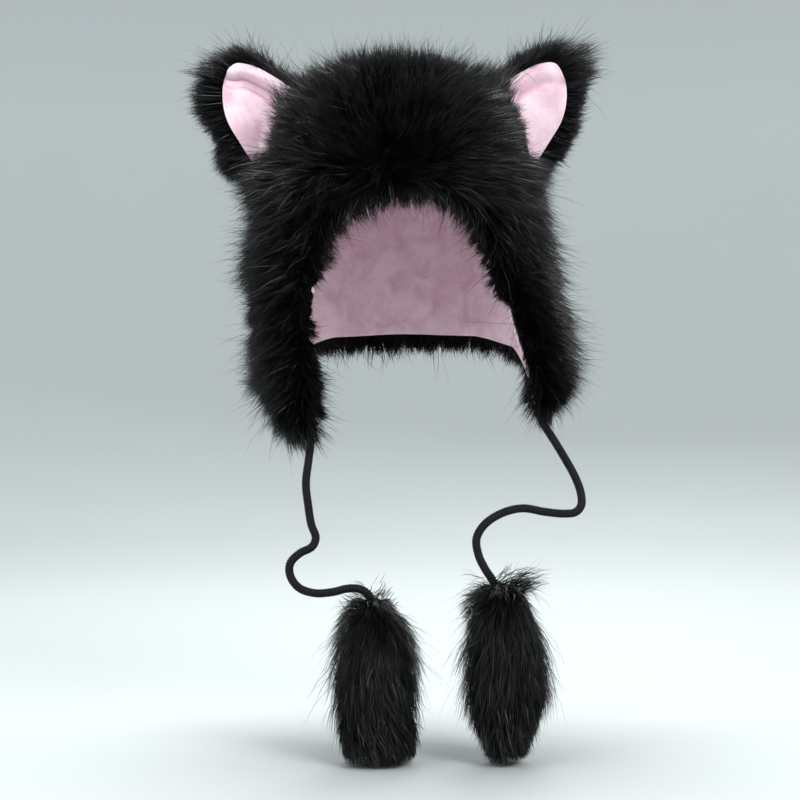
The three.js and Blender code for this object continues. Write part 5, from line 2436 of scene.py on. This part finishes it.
@dataclass
class Studio:
    """The camera, the pale sweep and the soft lights.

    Attributes:
        lens: Millimetres of focal length.
        sensor: Millimetres of the sensor's width.
        sweep_radius: Metres to the sweep's upright rim.
        bend_radius: Metres of the curve between floor and rim.
        sweep_height: Metres.
        floor: The floor's level in metres, just under the tassels.
    """

    lens: float = 90.0
    sensor: float = 36.0
    sweep_radius: float = 4.5
    bend_radius: float = 2.8
    sweep_height: float = 3.2
    floor: float = (FLOOR_LEVEL - 0.5) * METRES

    SWEEP_STEPS = 96
    LAMPS = (
        # name, place, size, watts
        ("key", (1.3, -1.9, 1.1), 1.3, 62.0),
        ("fill", (-1.7, -1.5, 0.5), 1.5, 24.0),
        ("top", (-0.1, 0.4, 1.7), 1.2, 56.0),
        ("back", (0.4, 1.9, 1.0), 1.2, 26.0),
    )
    AIM = Vector((0.0, 0.0, -0.15))

    def build_camera(self) -> None:
        """Set the camera level, in front of the hat."""
        data = bpy.data.cameras.new("camera")
        data.lens = self.lens
        data.sensor_width = self.sensor
        camera = add_object("camera", data)
        camera.location = VIEWPOINT * METRES
        camera.rotation_euler = (math.radians(90.0), 0.0, 0.0)
        bpy.context.scene.camera = camera

    def build_sweep(self) -> None:
        """Build the floor with its rim curved up all round."""
        flat = self.sweep_radius - self.bend_radius
        profile = [(flat * share, 0.0) for share in (0.25, 0.5, 0.75, 1.0)]
        for angle in np.linspace(0.0, math.pi / 2.0, 14)[1:]:
            rise = self.bend_radius * (1.0 - math.cos(angle))
            profile.append((flat + self.bend_radius * math.sin(angle), rise))
        profile.append((self.sweep_radius, self.sweep_height))
        turn = np.linspace(0.0, 2.0 * math.pi, self.SWEEP_STEPS, endpoint=False)
        points = [(0.0, 0.0, self.floor)]
        for radius, height in profile:
            points += [(radius * math.cos(a), radius * math.sin(a), self.floor + height) for a in turn]
        faces = [face[::-1] for face in ring_faces(len(profile), self.SWEEP_STEPS)]
        add_object("sweep", smooth_mesh("sweep", np.array(points), faces, PaperFinish().build()))

    def build_lights(self) -> None:
        """Hang the soft lights and set the pale surroundings."""
        world = bpy.data.worlds.new("surroundings")
        world.use_nodes = True
        background = world.node_tree.nodes["Background"]
        background.inputs["Color"].default_value = (0.9, 0.94, 1.0, 1.0)
        background.inputs["Strength"].default_value = 0.95
        bpy.context.scene.world = world
        for name, place, size, watts in self.LAMPS:
            data = bpy.data.lights.new(name, "AREA")
            data.shape = "DISK"
            data.size = size
            data.energy = watts
            lamp = add_object(name, data)
            lamp.location = place
            lamp.rotation_euler = (self.AIM - Vector(place)).to_track_quat("-Z", "Y").to_euler()
        bpy.context.scene.view_settings.view_transform = "Standard"


def main() -> None:
    """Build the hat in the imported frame."""
    logging.basicConfig(level=logging.INFO, format="%(name)s: %(message)s")
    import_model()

    studio = Studio()
    studio.build_camera()

    braid = BraidFinish().build()
    cords = [Cord("left", CORD_LEFT, braid), Cord("right", CORD_RIGHT, braid)]
    cord_pieces = [cord.build() for cord in cords]

    underfur = UnderfurFinish().build()
    plush = PlushFinish().build()
    strands = StrandMaker(StrandFinish().build())
    ear_strands = replace(
        strands,
        stray=13.0,
        clumps=(Clumping(2.6, 0.05, 0.4), Clumping(9.0, 0.05, 0.5), Clumping(20.0, 0.0, 0.35)),
    )
    tassel_strands = replace(
        strands,
        guard=replace(strands.guard, width=0.36, drawn=0.8),
        stray=9.0,
        wave=0.11,
        wild_share=0.06,
        clumps=(Clumping(2.4, 0.05, 0.4), Clumping(9.0, 0.0, 0.4)),
    )
    makers = (tassel_strands, underfur)
    tassels = [
        Tassel("left", TASSEL_LEFT, *makers, (-10.0, 32.0), LEFT_TASSEL_EDGE, LEFT_TUFTS),
        Tassel("right", TASSEL_RIGHT, *makers, (-6.0, 8.0), RIGHT_TASSEL_EDGE, RIGHT_TUFTS, seed=82),
    ]
    for cord, piece, tassel in zip(cords, cord_pieces, tassels):
        cord.declare(piece, tassel.build())

    wall = HatWall()
    Lining(wall, plush).build()
    HatFur(wall, strands, underfur).build()
    for place, roll, comb in zip(EAR_PLACES, (1.0, 0.3), (LEFT_EAR_COMB, RIGHT_EAR_COMB)):
        CatEar(place, ear_strands, underfur, plush, roll=roll, comb=comb).build()

    studio.build_sweep()
    studio.build_lights()


if __name__ == "__main__":
    main()
